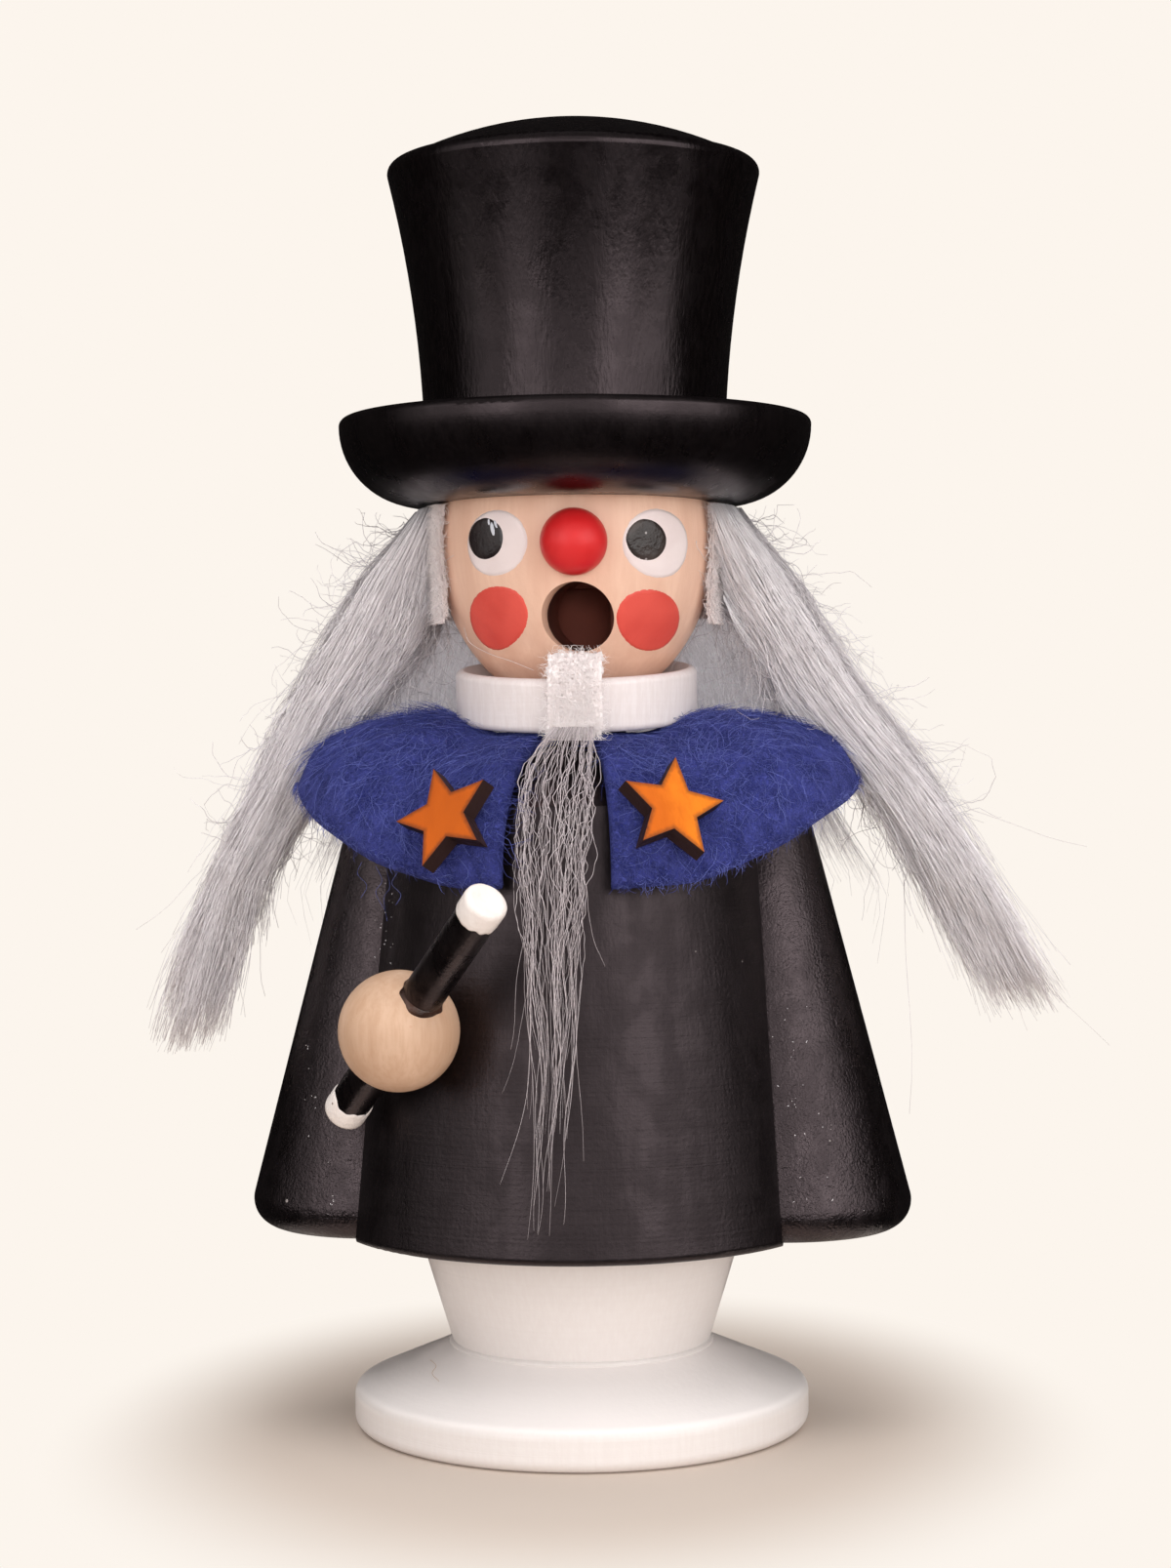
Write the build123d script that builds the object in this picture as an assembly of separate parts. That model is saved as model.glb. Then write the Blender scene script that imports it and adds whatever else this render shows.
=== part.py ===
from build123d import *
import os
from math import asin, cos, hypot, radians, sin, sqrt

# A German incense smoker: a turned wooden conjurer in a top hat, with a felt cape, fur hair and a beard.
# Millimetres, +Z up. The figure faces -Y, and left and right are the viewer's.
# The figure lifts off the pedestal, so that an incense cone can be set on the dish inside the coat.

# Foot and pedestal
foot_radius = 23.2
foot_rim_height = 4.0
foot_rise = 4.3
foot_edge_round = 1.2
pedestal_foot_radius = 13.1
pedestal_hem_radius = 16.7
pedestal_height = 11.8
tenon_radius = 6.0
tenon_length = 5.0
spigot_height = 7.5
spigot_chamfer = 0.8

# Ember dish and its tack
dish_floor_radius = 8.6
dish_rim_radius = 10.4
dish_rim_height = 2.0
dish_sheet = 0.5
tack_head_radius = 1.8
tack_head_height = 0.6
tack_shank_radius = 0.7
tack_length = 6.0

# Coat
coat_hem_radius = 25.0
coat_shoulder_radius = 18.85
coat_height = 43.3
shoulder_rise = 5.6
hem_round = 0.7
seat_radius = 8.8
neck_radius = 5.0
neck_engagement = 2.7
flat_hem_depth = 3.95
flat_shoulder_depth = 0.7
chamber_radius = 14.2
chamber_height = 34.0
chamber_roof_rise = 6.0
flue_radius = 3.5
air_hole_radius = 2.2
air_hole_height = 16.0

# Sleeves
sleeve_hem_round = 2.8
sleeve_top_round = 1.2
sleeve_cape_gap = 0.8
dowel_radius = 1.5
sleeve_dowel_half_length = 2.8
sleeve_dowel_heights = (12.0, 30.0)

# Hand and wand
hand_radius = 5.8
hand_turn = 32.0
hand_height = 22.2
hand_dowel_depth = 4.0
hand_dowel_cover = 0.6
wand_radius = 2.0
wand_above_hand = 19.9
wand_below_hand = 13.4
wand_rise = 40.7
wand_turn = 41.3
wand_end_round = 0.35

# Felt cape
felt_thickness = 1.4
felt_hole_clearance = 0.5
felt_slit_turn = 14.5
felt_front_overhang = 2.05
felt_side_reach = 27.5
felt_front_drop = 13.2
felt_side_drop = 5.2
felt_shoulder_gap = 0.28
felt_side_bulge = 2.4
felt_front_edge_tilt = 10.0
felt_side_edge_tilt = 65.0
felt_sections = 9

# Stars
star_radius = 5.3
star_notch_radius = 2.4
star_thickness = 2.0
left_star_turn = 27.3
left_star_along = 0.75
left_star_spin = 26.0
right_star_turn = 28.7
right_star_along = 0.72
right_star_spin = -13.0

# Collar ring
ring_inset = 1.65
ring_height = 5.4
ring_bore_clearance = 1.4
ring_land = 0.8
ring_dish_depth = 4.5
ring_edge_round = 0.7
ring_tilt = 6.5
ring_lift = 0.3

# Head, turned a little on its neck
head_turn = 4.8
head_sink = 2.375
head_height = 18.95
head_radius = 13.95
head_widest_height = 14.6
head_top_inset = 0.25
head_jaw_inset = 0.2
head_jaw_height = 11.8
head_base_inset = 7.35
mouth_height = 6.95
mouth_radius = 3.5
mouth_drift = 2.2
mouth_climb = 1.0
nose_height = 14.3
nose_radius = 3.3
nose_stand_off = 0.9
nose_peg_radius = 1.0
nose_peg_length = 3.5

# Hat
brim_radius = 24.05
brim_curl_radius = 7.9
brim_thickness = 1.6
crown_foot_radius = 15.3
crown_waist_radius = 16.05
crown_waist_height = 15.6
crown_rim_radius = 18.9
crown_rim_height = 31.6
crown_rim_round = 1.3
crown_dome_rise = 4.25
hat_dowel_radius = 3.0
hat_dowel_in_head = 6.0
hat_dowel_in_crown = 6.0

# Hair
band_thickness = 1.0
band_height = 11.2
band_half_turn = 97.0
hair_root_below_brim = 4.4
hair_fall = 13.2
hair_fall_reach = 4.6
hair_set_back = 1.5
# Levels of a side tuft: drop below the brim, inner reach, outer reach, depth
left_hair_levels = (
    (0.8, 12.5, 17.4, 7.4),
    (5.2, 12.5, 21.8, 7.4),
    (13.2, 15.8, 26.9, 7.4),
    (21.1, 22.7, 31.0, 7.0),
    (28.6, 28.8, 35.0, 6.0),
    (37.1, 32.4, 38.2, 5.0),
    (45.1, 35.4, 41.0, 4.2),
    (53.1, 39.4, 43.6, 3.0),
)
right_hair_levels = (
    (0.8, 12.5, 17.9, 7.4),
    (6.5, 13.0, 22.1, 7.4),
    (13.0, 17.0, 26.4, 7.4),
    (20.5, 21.7, 31.1, 7.0),
    (28.4, 28.8, 36.4, 6.0),
    (35.5, 32.8, 40.6, 5.2),
    (42.6, 37.1, 44.2, 4.2),
    (49.6, 41.8, 47.4, 3.0),
)
back_hair_half_turn = 64.0
back_hair_thickness = 2.2
back_hair_tip_reach = 32.5
back_hair_tip_below_brim = 40.0
back_hair_tip_thickness = 1.2

# Beard
tab_width = 6.2
tab_thickness = 0.6
tab_chin_inset = 1.95
beard_root_width = 6.0
beard_full_width = 8.4
beard_drop_width = 6.4
beard_mid_width = 4.4
beard_tip_width = 1.6
beard_thickness = 1.5
beard_tip_above_hem = 0.8
beard_tip_shift = -1.1

# Clearances
lift_clearance = 0.15
glue_clearance = 0.05
seat_gap = 0.3

# Heights of the stack, from the table up
foot_top = foot_rim_height + foot_rise
hem = foot_top + pedestal_height
spigot_top = hem + spigot_height
shoulder = hem + coat_height
seat = shoulder + shoulder_rise
ring_middle = seat + felt_thickness + seat_radius * sin(radians(ring_tilt)) + ring_lift
head_base = ring_middle + ring_height - head_sink
neck_top = head_base + neck_engagement
mouth = head_base + mouth_height
nose = head_base + nose_height
brim_base = head_base + head_height
crown_base = brim_base + brim_thickness

# Slopes and radii that several pieces share
coat_taper = (coat_hem_radius - coat_shoulder_radius) / coat_height
flat_hem_reach = coat_hem_radius - flat_hem_depth
flat_shoulder_reach = coat_shoulder_radius - flat_shoulder_depth
flat_taper = (flat_hem_reach - flat_shoulder_reach) / coat_height
felt_front_reach = coat_shoulder_radius + felt_front_overhang
ring_radius = head_radius - ring_inset
head_top_radius = head_radius - head_top_inset
head_jaw_radius = head_radius - head_jaw_inset
head_base_radius = head_radius - head_base_inset
band_inner = head_radius + seat_gap
band_outer = band_inner + band_thickness
hair_inner = band_outer + seat_gap


def lathe(outline, turn=360, start=0):
    """Turn a closed outline, drawn as radius and height, about the Z axis."""
    solid = revolve(Plane.XZ * make_face(outline), Axis.Z, turn)
    return Rot(0, 0, start) * solid


def rounded(solid, radius, *circles):
    """Round the circular edges of the given (radius, height) pairs."""
    edges = [
        e
        for e in solid.edges().filter_by(GeomType.CIRCLE)
        for r, z in circles
        if abs(e.radius - r) < 1e-4 and abs(e.arc_center.Z - z) < 1e-4
    ]
    return fillet(edges, radius)


def pin(radius, start, end):
    """Round pin from one point to another."""
    way = Vector(*end) - Vector(*start)
    middle = (Vector(*end) + Vector(*start)) / 2
    return Plane(middle, z_dir=way.normalized()) * Cylinder(radius, way.length)


def coat_radius(height):
    return coat_hem_radius - coat_taper * (height - hem)


def flat_reach(height):
    return flat_hem_reach - flat_taper * (height - hem)


def seam_half_width(height):
    return sqrt(coat_radius(height) ** 2 - flat_reach(height) ** 2)


def front_point(turn, radius, height):
    """Point at a turn from the front, positive towards +X."""
    return Vector(radius * sin(radians(turn)), -radius * cos(radians(turn)), height)


# Foot and pedestal

def make_foot():
    outline = Polyline(
        (0, 0),
        (foot_radius, 0),
        (foot_radius, foot_rim_height),
        (pedestal_foot_radius, foot_top),
        (0, foot_top),
        close=True,
    )
    foot = rounded(lathe(outline), foot_edge_round, (foot_radius, 0), (foot_radius, foot_rim_height))
    socket = pin(tenon_radius + glue_clearance, (0, 0, foot_top - tenon_length), (0, 0, foot_top))
    return foot - socket


def make_pedestal():
    spigot_radius = chamber_radius - lift_clearance
    outline = Polyline(
        (0, foot_top - tenon_length),
        (tenon_radius, foot_top - tenon_length),
        (tenon_radius, foot_top),
        (pedestal_foot_radius, foot_top),
        (pedestal_hem_radius, hem),
        (spigot_radius, hem),
        (spigot_radius, spigot_top - spigot_chamfer),
        (spigot_radius - spigot_chamfer, spigot_top),
        (0, spigot_top),
        close=True,
    )
    pilot_top = spigot_top + dish_sheet
    pilot = pin(tack_shank_radius + glue_clearance, (0, 0, pilot_top - tack_length), (0, 0, pilot_top))
    return lathe(outline) - pilot


def make_dish():
    hole = tack_shank_radius + glue_clearance
    outline = Polyline(
        (hole, spigot_top),
        (dish_floor_radius, spigot_top),
        (dish_rim_radius, spigot_top + dish_rim_height),
        (dish_rim_radius - dish_sheet, spigot_top + dish_rim_height),
        (dish_floor_radius - dish_sheet, spigot_top + dish_sheet),
        (hole, spigot_top + dish_sheet),
        close=True,
    )
    return lathe(outline)


def make_tack():
    floor = spigot_top + dish_sheet
    shank = pin(tack_shank_radius, (0, 0, floor - tack_length), (0, 0, floor))
    head = pin(tack_head_radius, (0, 0, floor), (0, 0, floor + tack_head_height))
    return shank + head


# Coat, with its chamber, flue and flats

def flat_plane(side):
    """Plane of the glued flat on one side of the coat, facing outwards."""
    outward = Vector(side, 0, flat_taper).normalized()
    return Plane((side * flat_hem_reach, 0, hem), x_dir=(0, 1, 0), z_dir=outward)


def outside_flat(side):
    """Everything beyond one flat of the coat."""
    size = 3 * (coat_height + coat_hem_radius)
    return flat_plane(side) * Pos(0, 0, size / 2) * Box(size, size, size)


def sleeve_dowel(side, height, clearance=0.0):
    middle = Vector(side * flat_reach(hem + height), 0, hem + height)
    half = flat_plane(side).z_dir * (sleeve_dowel_half_length + clearance)
    return pin(dowel_radius + clearance, middle - half, middle + half)


def make_coat():
    roof = hem + chamber_height
    outline = Polyline(
        (chamber_radius, hem),
        (coat_hem_radius, hem),
        (coat_shoulder_radius, shoulder),
        (seat_radius, seat),
        (neck_radius, seat),
        (neck_radius, neck_top),
        (flue_radius, neck_top),
        (flue_radius, roof + chamber_roof_rise),
        (chamber_radius, roof),
        close=True,
    )
    coat = rounded(lathe(outline), hem_round, (coat_hem_radius, hem))
    air_height = hem + air_hole_height
    coat -= pin(air_hole_radius, (0, 0, air_height), (0, 2 * coat_hem_radius, air_height))
    for side in (-1, 1):
        coat -= outside_flat(side)
        for height in sleeve_dowel_heights:
            coat -= sleeve_dowel(side, height, glue_clearance)
    hand = hand_center()
    coat -= pin(dowel_radius + glue_clearance, hand - hand_normal() * hand_depth(), hand)
    return coat


# Sleeves

def half_disc(side, height):
    """Half disc on the flat, as wide as the coat's seam at that height."""
    radius = seam_half_width(height)
    reach = side * flat_reach(height)
    start = -90 if side > 0 else 90
    arc = CenterArc((reach, 0), radius, start, 180)
    return Plane((0, 0, height)) * make_face(arc + Line(arc @ 1, arc @ 0))


def above_sleeve(side):
    """Everything above the sloping cut of a sleeve's top, just under the cape."""
    under = cape_curves(90)[0]
    inner = under @ 0.5
    outer = under @ 0.75
    slope = (inner.Y - outer.Y) / (outer.X - inner.X)
    size = 4 * coat_hem_radius
    upward = Vector(side * slope, 0, 1).normalized()
    point = Vector(side * inner.X, 0, inner.Y - sleeve_cape_gap)
    return Plane(point, x_dir=(0, 1, 0), z_dir=upward) * Pos(0, 0, size / 2) * Box(size, size, size)


def make_sleeve(side):
    body = loft([half_disc(side, hem), half_disc(side, shoulder)], ruled=True)
    upper = extrude(half_disc(side, shoulder), seat - shoulder) - above_sleeve(side)
    upper = fillet(upper.edges().filter_by(GeomType.ELLIPSE), sleeve_top_round)
    lower_edge = body.edges().filter_by(GeomType.CIRCLE).sort_by(Axis.Z)[0]
    body = fillet(lower_edge, sleeve_hem_round)
    sleeve = body + upper
    for height in sleeve_dowel_heights:
        sleeve -= sleeve_dowel(side, height, glue_clearance)
    return sleeve


# Hand and wand

def hand_normal():
    """Direction in which the coat faces behind the hand."""
    upright = hypot(1, coat_taper)
    return front_point(-hand_turn, 1, coat_taper) / upright


def hand_center():
    height = hem + hand_height
    stand_off = (hand_radius + seat_gap) * hypot(1, coat_taper)
    return front_point(-hand_turn, coat_radius(height) + stand_off, height)


def hand_depth():
    """From the hand's centre to the bottom of its hole in the coat."""
    return hand_radius + seat_gap + hand_dowel_depth


def wand_way():
    return front_point(wand_turn, cos(radians(wand_rise)), sin(radians(wand_rise)))


def make_hand_dowel(clearance=0.0):
    hand = hand_center()
    nearest = wand_radius + hand_dowel_cover
    start = hand - hand_normal() * (hand_depth() - glue_clearance)
    end = hand - hand_normal() * (nearest - clearance)
    return pin(dowel_radius + clearance, start, end)


def make_hand():
    hand = Pos(*hand_center()) * Sphere(hand_radius)
    reach = wand_way() * 2 * hand_radius
    hand -= pin(wand_radius + glue_clearance, hand_center() - reach, hand_center() + reach)
    return hand - make_hand_dowel(glue_clearance)


def make_wand():
    lower = hand_center() - wand_way() * wand_below_hand
    upper = hand_center() + wand_way() * wand_above_hand
    wand = pin(wand_radius, lower, upper)
    return fillet(wand.edges().filter_by(GeomType.CIRCLE), wand_end_round)


# Felt cape: steep in front and behind, a gentle ridge over each sleeve

def cape_plane(turn):
    """Upright plane through the axis, at a turn from the front, drawn as radius and height."""
    outward = front_point(turn, 1, 0)
    return Plane((0, 0, 0), x_dir=outward, z_dir=outward.cross(Vector(0, 0, 1)))


def front_bulge():
    """Bulge with which the front of the cape clears the coat's shoulder edge."""
    chord = Vector(felt_front_reach - seat_radius, -felt_front_drop)
    edge = Vector(coat_shoulder_radius - seat_radius, shoulder - seat)
    along = edge.dot(chord) / chord.length**2
    height = (edge.X * -chord.Y + edge.Y * chord.X) / chord.length
    return (height + felt_shoulder_gap) / (4 * along * (1 - along))


def cape_curves(turn):
    """Under and upper curves of the cape beyond the seat, at a turn from the front."""
    side = abs(sin(radians(turn)))
    tip = Vector(
        felt_front_reach + (felt_side_reach - felt_front_reach) * side**3,
        seat - felt_front_drop + (felt_front_drop - felt_side_drop) * side**5,
    )
    bulge = front_bulge() + (felt_side_bulge - front_bulge()) * side**2
    edge_tilt = radians(felt_front_edge_tilt + (felt_side_edge_tilt - felt_front_edge_tilt) * side**2)
    root = Vector(seat_radius, seat)
    chord = tip - root
    normal = Vector(-chord.Y, chord.X) / chord.length
    middle = root + chord / 2 + normal * bulge
    upper_root = root + Vector(0, felt_thickness)
    upper_tip = tip + Vector(cos(edge_tilt), sin(edge_tilt)) * felt_thickness
    under = ThreePointArc(root, middle, tip)
    upper = ThreePointArc(upper_root, middle + normal * felt_thickness, upper_tip)
    return under, upper


def cape_section(turn):
    under, upper = cape_curves(turn)
    hole = neck_radius + felt_hole_clearance
    outline = (
        Line((hole, seat), under @ 0)
        + under
        + Line(under @ 1, upper @ 1)
        + upper
        + Line(upper @ 0, (hole, seat + felt_thickness))
        + Line((hole, seat + felt_thickness), (hole, seat))
    )
    return cape_plane(turn) * make_face(outline)


def make_cape():
    step = (180 - felt_slit_turn) / (felt_sections - 1)
    turns = [felt_slit_turn + step * i for i in range(felt_sections)]
    half = loft([cape_section(turn) for turn in turns])
    return half + mirror(half, Plane.YZ)


def make_star(turn, along, spin):
    """Five-pointed star glued flat on the cape's upper face."""
    upper = cape_plane(turn) * cape_curves(turn)[1]
    place = upper @ along
    sideways = Vector(cos(radians(turn)), sin(radians(turn)), 0)
    facing = (upper % along).cross(sideways)
    facing = facing if facing.Z > 0 else facing * -1
    corners = []
    for i in range(10):
        radius = star_notch_radius if i % 2 else star_radius
        angle = radians(90 + spin + 36 * i)
        corners.append((radius * cos(angle), radius * sin(angle)))
    face = make_face(Polyline(*corners, close=True))
    seat_plane = Plane(place + facing * seat_gap, x_dir=sideways, z_dir=facing)
    return extrude(seat_plane * face, star_thickness)


# Collar ring, head and nose

def make_ring():
    bore = neck_radius + ring_bore_clearance
    outline = Polyline(
        (bore, 0),
        (ring_radius, 0),
        (ring_radius, ring_height),
        (ring_radius - ring_land, ring_height),
        (bore, ring_height - ring_dish_depth),
        close=True,
    )
    ring = rounded(lathe(outline), ring_edge_round, (ring_radius, 0), (ring_radius, ring_height))
    return Pos(0, 0, ring_middle) * Rot(ring_tilt, 0, 0) * ring


def head_outline():
    side = ThreePointArc(
        (head_top_radius, brim_base),
        (head_radius, head_base + head_widest_height),
        (head_jaw_radius, head_base + head_jaw_height),
    )
    jaw = TangentArc(side @ 1, (head_base_radius, head_base), tangent=side % 1)
    return (
        Line((0, brim_base), side @ 0)
        + side
        + jaw
        + Line((head_base_radius, head_base), (0, head_base))
        + Line((0, head_base), (0, brim_base))
    )


def nose_peg(clearance=0.0):
    start = -(head_radius - nose_peg_length - clearance)
    return pin(nose_peg_radius + clearance, (0, start, nose), (0, -head_radius - nose_stand_off, nose))


def make_head():
    head = lathe(head_outline())
    head -= pin(neck_radius + glue_clearance, (0, 0, head_base), (0, 0, neck_top))
    head -= pin(flue_radius, (0, 0, neck_top), (0, 0, mouth + mouth_radius))
    # The mouth is drilled a little askew, down and across from the flue.
    drill = Vector(-mouth_drift, -head_radius, -mouth_climb)
    lips = Vector(0, -head_radius, mouth)
    head -= pin(mouth_radius, lips - drill, lips + drill)
    head -= pin(hat_dowel_radius + glue_clearance, (0, 0, brim_base - hat_dowel_in_head), (0, 0, brim_base))
    return head - nose_peg(glue_clearance)


def make_nose():
    ball = Pos(0, -head_radius - nose_stand_off, nose) * Sphere(nose_radius)
    return ball - lathe(head_outline()) + nose_peg()


# Top hat

def make_brim():
    curl = (brim_radius - brim_curl_radius, brim_base + brim_curl_radius)
    lip_radius = brim_thickness / 2
    lip = (brim_radius - lip_radius, curl[1])
    hole = hat_dowel_radius + glue_clearance
    under = CenterArc(curl, brim_curl_radius, -90, 90)
    edge = CenterArc(lip, lip_radius, 0, 180)
    inside = CenterArc(curl, brim_curl_radius - brim_thickness, 0, -90)
    outline = (
        Line((hole, brim_base), under @ 0)
        + under
        + edge
        + inside
        + Line(inside @ 1, (hole, crown_base))
        + Line((hole, crown_base), (hole, brim_base))
    )
    return lathe(outline)


def make_crown():
    rim = crown_base + crown_rim_height
    side = ThreePointArc(
        (crown_foot_radius, crown_base),
        (crown_waist_radius, crown_base + crown_waist_height),
        (crown_rim_radius, rim),
    )
    shoulder_point = (crown_rim_radius - crown_rim_round, rim + crown_rim_round)
    turn_in = TangentArc(side @ 1, shoulder_point, tangent=side % 1)
    dome_half = shoulder_point[0]
    dome_radius = (dome_half**2 + crown_dome_rise**2) / (2 * crown_dome_rise)
    top = (0, shoulder_point[1] + crown_dome_rise)
    half_angle = asin(dome_half / dome_radius) / 2
    dome_middle = (dome_radius * sin(half_angle), top[1] - dome_radius * (1 - cos(half_angle)))
    dome = ThreePointArc(shoulder_point, dome_middle, top)
    outline = Line((0, crown_base), side @ 0) + side + turn_in + dome + Line(top, (0, crown_base))
    socket_top = crown_base + hat_dowel_in_crown
    return lathe(outline) - pin(hat_dowel_radius + glue_clearance, (0, 0, crown_base), (0, 0, socket_top))


def make_hat_dowel():
    lower = brim_base - hat_dowel_in_head + glue_clearance
    upper = crown_base + hat_dowel_in_crown - glue_clearance
    return pin(hat_dowel_radius, (0, 0, lower), (0, 0, upper))


# Hair and beard

def tuft(points, across, widths, depths):
    """Loft of ellipses along a curve, each wide across the tuft and deep in the third direction."""
    path = Spline(*points)
    last = len(points) - 1
    sections = []
    for i, (width, depth) in enumerate(zip(widths, depths)):
        at = path.param_at_point(points[i]) if 0 < i < last else i / last
        plane = Plane(path @ at, x_dir=across, z_dir=path % at)
        sections.append(plane * Ellipse(depth / 2, width / 2))
    return loft(sections)


def make_band():
    top = brim_base - seat_gap
    outline = Polyline(
        (band_inner, top - band_height),
        (band_outer, top - band_height),
        (band_outer, top),
        (band_inner, top),
        close=True,
    )
    return lathe(outline, 2 * band_half_turn, 90 - band_half_turn)


def make_side_hair(side, levels):
    """Tuft from the temple down over the cape's side, lofted through level ellipses."""
    sections = []
    for drop, inner, outer, depth in levels:
        plane = Plane((side * (inner + outer) / 2, hair_set_back, brim_base - drop))
        sections.append(plane * Ellipse((outer - inner) / 2, depth / 2))
    return loft(sections) - Pos(0, 0, brim_base) * Cylinder(hair_inner, 2 * head_height)


def make_back_hair():
    root = (hair_inner, brim_base - hair_root_below_brim)
    bend = (hair_inner + hair_fall_reach, brim_base - hair_fall - band_height / 2)
    tip = (back_hair_tip_reach, brim_base - back_hair_tip_below_brim)
    inner = Spline(root, bend, tip)
    outer_root = (root[0] + back_hair_thickness, root[1])
    outer_bend = (bend[0] + back_hair_thickness, bend[1])
    outer_tip = (tip[0] + back_hair_tip_thickness, tip[1])
    outer = Spline(outer_tip, outer_bend, outer_root)
    outline = inner + Line(tip, outer_tip) + outer + Line(outer_root, root)
    return lathe(outline, 2 * back_hair_half_turn, 90 - back_hair_half_turn)


def tab_front():
    """Y of the tab's inner face, in front of the ring."""
    lean = radians(ring_tilt)
    return -(ring_radius * cos(lean) + ring_height * sin(lean) + seat_gap)


def make_tab():
    ring_front = ring_middle - ring_radius * sin(radians(ring_tilt))
    top = mouth - mouth_radius + seat_gap
    bend = ring_front + ring_height
    chin = tab_chin_inset - head_jaw_radius
    outline = Polyline(
        (tab_front(), ring_front),
        (tab_front(), bend),
        (chin, top),
        (chin - tab_thickness, top),
        (tab_front() - tab_thickness, bend),
        (tab_front() - tab_thickness, ring_front),
        close=True,
    )
    face = Plane.YZ * make_face(outline)
    return extrude(face, tab_width / 2, both=True)


def make_beard():
    ring_front = ring_middle - ring_radius * sin(radians(ring_tilt))
    stand_off = beard_thickness / 2 + seat_gap
    cape = cape_plane(0) * cape_curves(0)[1]
    shoulder_point = cape @ 0.55
    drop_point = cape @ 1
    root_reach = tab_thickness + stand_off - tab_front()
    root = front_point(head_turn, root_reach, ring_front + stand_off)
    over = (root.X / 2, shoulder_point.Y - stand_off, shoulder_point.Z + stand_off)
    drop = (0, drop_point.Y - stand_off, drop_point.Z)
    tip_height = hem + beard_tip_above_hem
    middle_height = (drop_point.Z + tip_height) / 2
    middle = (beard_tip_shift / 2, -coat_radius(middle_height) - 2 * stand_off, middle_height)
    tip = (beard_tip_shift, -coat_radius(tip_height) - 2 * stand_off, tip_height)
    thicknesses = [beard_thickness] * 5
    widths = (beard_root_width, beard_full_width, beard_drop_width, beard_mid_width, beard_tip_width)
    return tuft([root, over, drop, middle, tip], (1, 0, 0), thicknesses, widths)


def make_parts():
    turned = Rot(0, 0, head_turn)
    parts = {
        "foot_disc": make_foot(),
        "pedestal": make_pedestal(),
        "ember_plate": make_dish(),
        "plate_tack": make_tack(),
        "coat_body": make_coat(),
        "left_sleeve": make_sleeve(-1),
        "right_sleeve": make_sleeve(1),
        "hand_ball": make_hand(),
        "hand_dowel": make_hand_dowel(),
        "wand": make_wand(),
        "felt_collar": make_cape(),
        "left_star": make_star(-left_star_turn, left_star_along, left_star_spin),
        "right_star": make_star(right_star_turn, right_star_along, right_star_spin),
        "collar_ring": make_ring(),
        "head": turned * make_head(),
        "nose_ball": turned * make_nose(),
        "hat_brim": make_brim(),
        "hat_crown": make_crown(),
        "hat_dowel": make_hat_dowel(),
        "wig_band": turned * make_band(),
        "left_hair": make_side_hair(-1, left_hair_levels),
        "right_hair": make_side_hair(1, right_hair_levels),
        "back_hair": make_back_hair(),
        "beard_tab": turned * make_tab(),
        "beard_hair": make_beard(),
    }
    for side, side_name in ((-1, "left"), (1, "right")):
        for height, level in zip(sleeve_dowel_heights, ("lower", "upper")):
            parts[f"{side_name}_sleeve_{level}_dowel"] = sleeve_dowel(side, height)
    return parts


os.makedirs("parts", exist_ok=True)
for node, shape in make_parts().items():
    export_step(shape, f"parts/{node}.step")
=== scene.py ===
import math
import bpy
import numpy as np
from mathutils import Matrix, Vector
from mathutils.bvhtree import BVHTree


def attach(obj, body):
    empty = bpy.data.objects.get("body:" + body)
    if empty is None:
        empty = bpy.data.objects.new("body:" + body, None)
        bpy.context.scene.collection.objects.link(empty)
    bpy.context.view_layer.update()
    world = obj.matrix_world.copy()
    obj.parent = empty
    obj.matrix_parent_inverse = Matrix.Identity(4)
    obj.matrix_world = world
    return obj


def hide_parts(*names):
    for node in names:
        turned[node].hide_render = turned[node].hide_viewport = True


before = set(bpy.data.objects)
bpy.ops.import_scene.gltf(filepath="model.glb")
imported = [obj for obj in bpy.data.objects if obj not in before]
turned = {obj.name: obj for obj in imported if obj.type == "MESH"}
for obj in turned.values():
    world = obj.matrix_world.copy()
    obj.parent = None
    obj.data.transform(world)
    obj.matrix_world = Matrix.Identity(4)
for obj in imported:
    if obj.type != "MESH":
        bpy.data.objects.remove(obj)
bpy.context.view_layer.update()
scene = bpy.context.scene
mm = 0.001
faceTurn = 4.8  # degrees that the head is turned on its neck
print("frame loaded with", len(turned), "pieces")


# camera, solved from the photo's own edges
photoView = {
    "lens": 67.2, "film": 36, "distance": 0.2994, "height": 0.0711, "azimuth": 5.655,
    "yaw": -0.155, "pitch": 1.136, "roll": -0.414, "wide": 1200, "tall": 1607,
}


def placeCamera(view):
    camera = bpy.data.objects.new("photoCamera", bpy.data.cameras.new("photoCamera"))
    scene.collection.objects.link(camera)
    camera.data.lens = view["lens"]
    camera.data.clip_start = 0.01
    around = math.radians(view["azimuth"])
    stand = (view["distance"] * math.sin(around), -view["distance"] * math.cos(around), view["height"])
    camera.matrix_world = (
        Matrix.Translation(stand)
        @ Matrix.Rotation(around + math.radians(view["yaw"]), 4, "Z")
        @ Matrix.Rotation(math.radians(90 - view["pitch"]), 4, "X")
        @ Matrix.Rotation(math.radians(view["roll"]), 4, "Z")
    )
    scene.camera = camera


def photoRay(x, y):  # from the camera through a point of the photo
    wide, tall = photoView["wide"], photoView["tall"]
    focal = photoView["lens"] / photoView["film"] * tall
    way = Vector(((x - wide / 2) / focal, (tall / 2 - y) / focal, -1))
    place = scene.camera.matrix_world
    return place.translation, (place.to_3x3() @ way).normalized()


placeCamera(photoView)
scene.view_settings.view_transform = "Standard"
print("camera placed")


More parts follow.
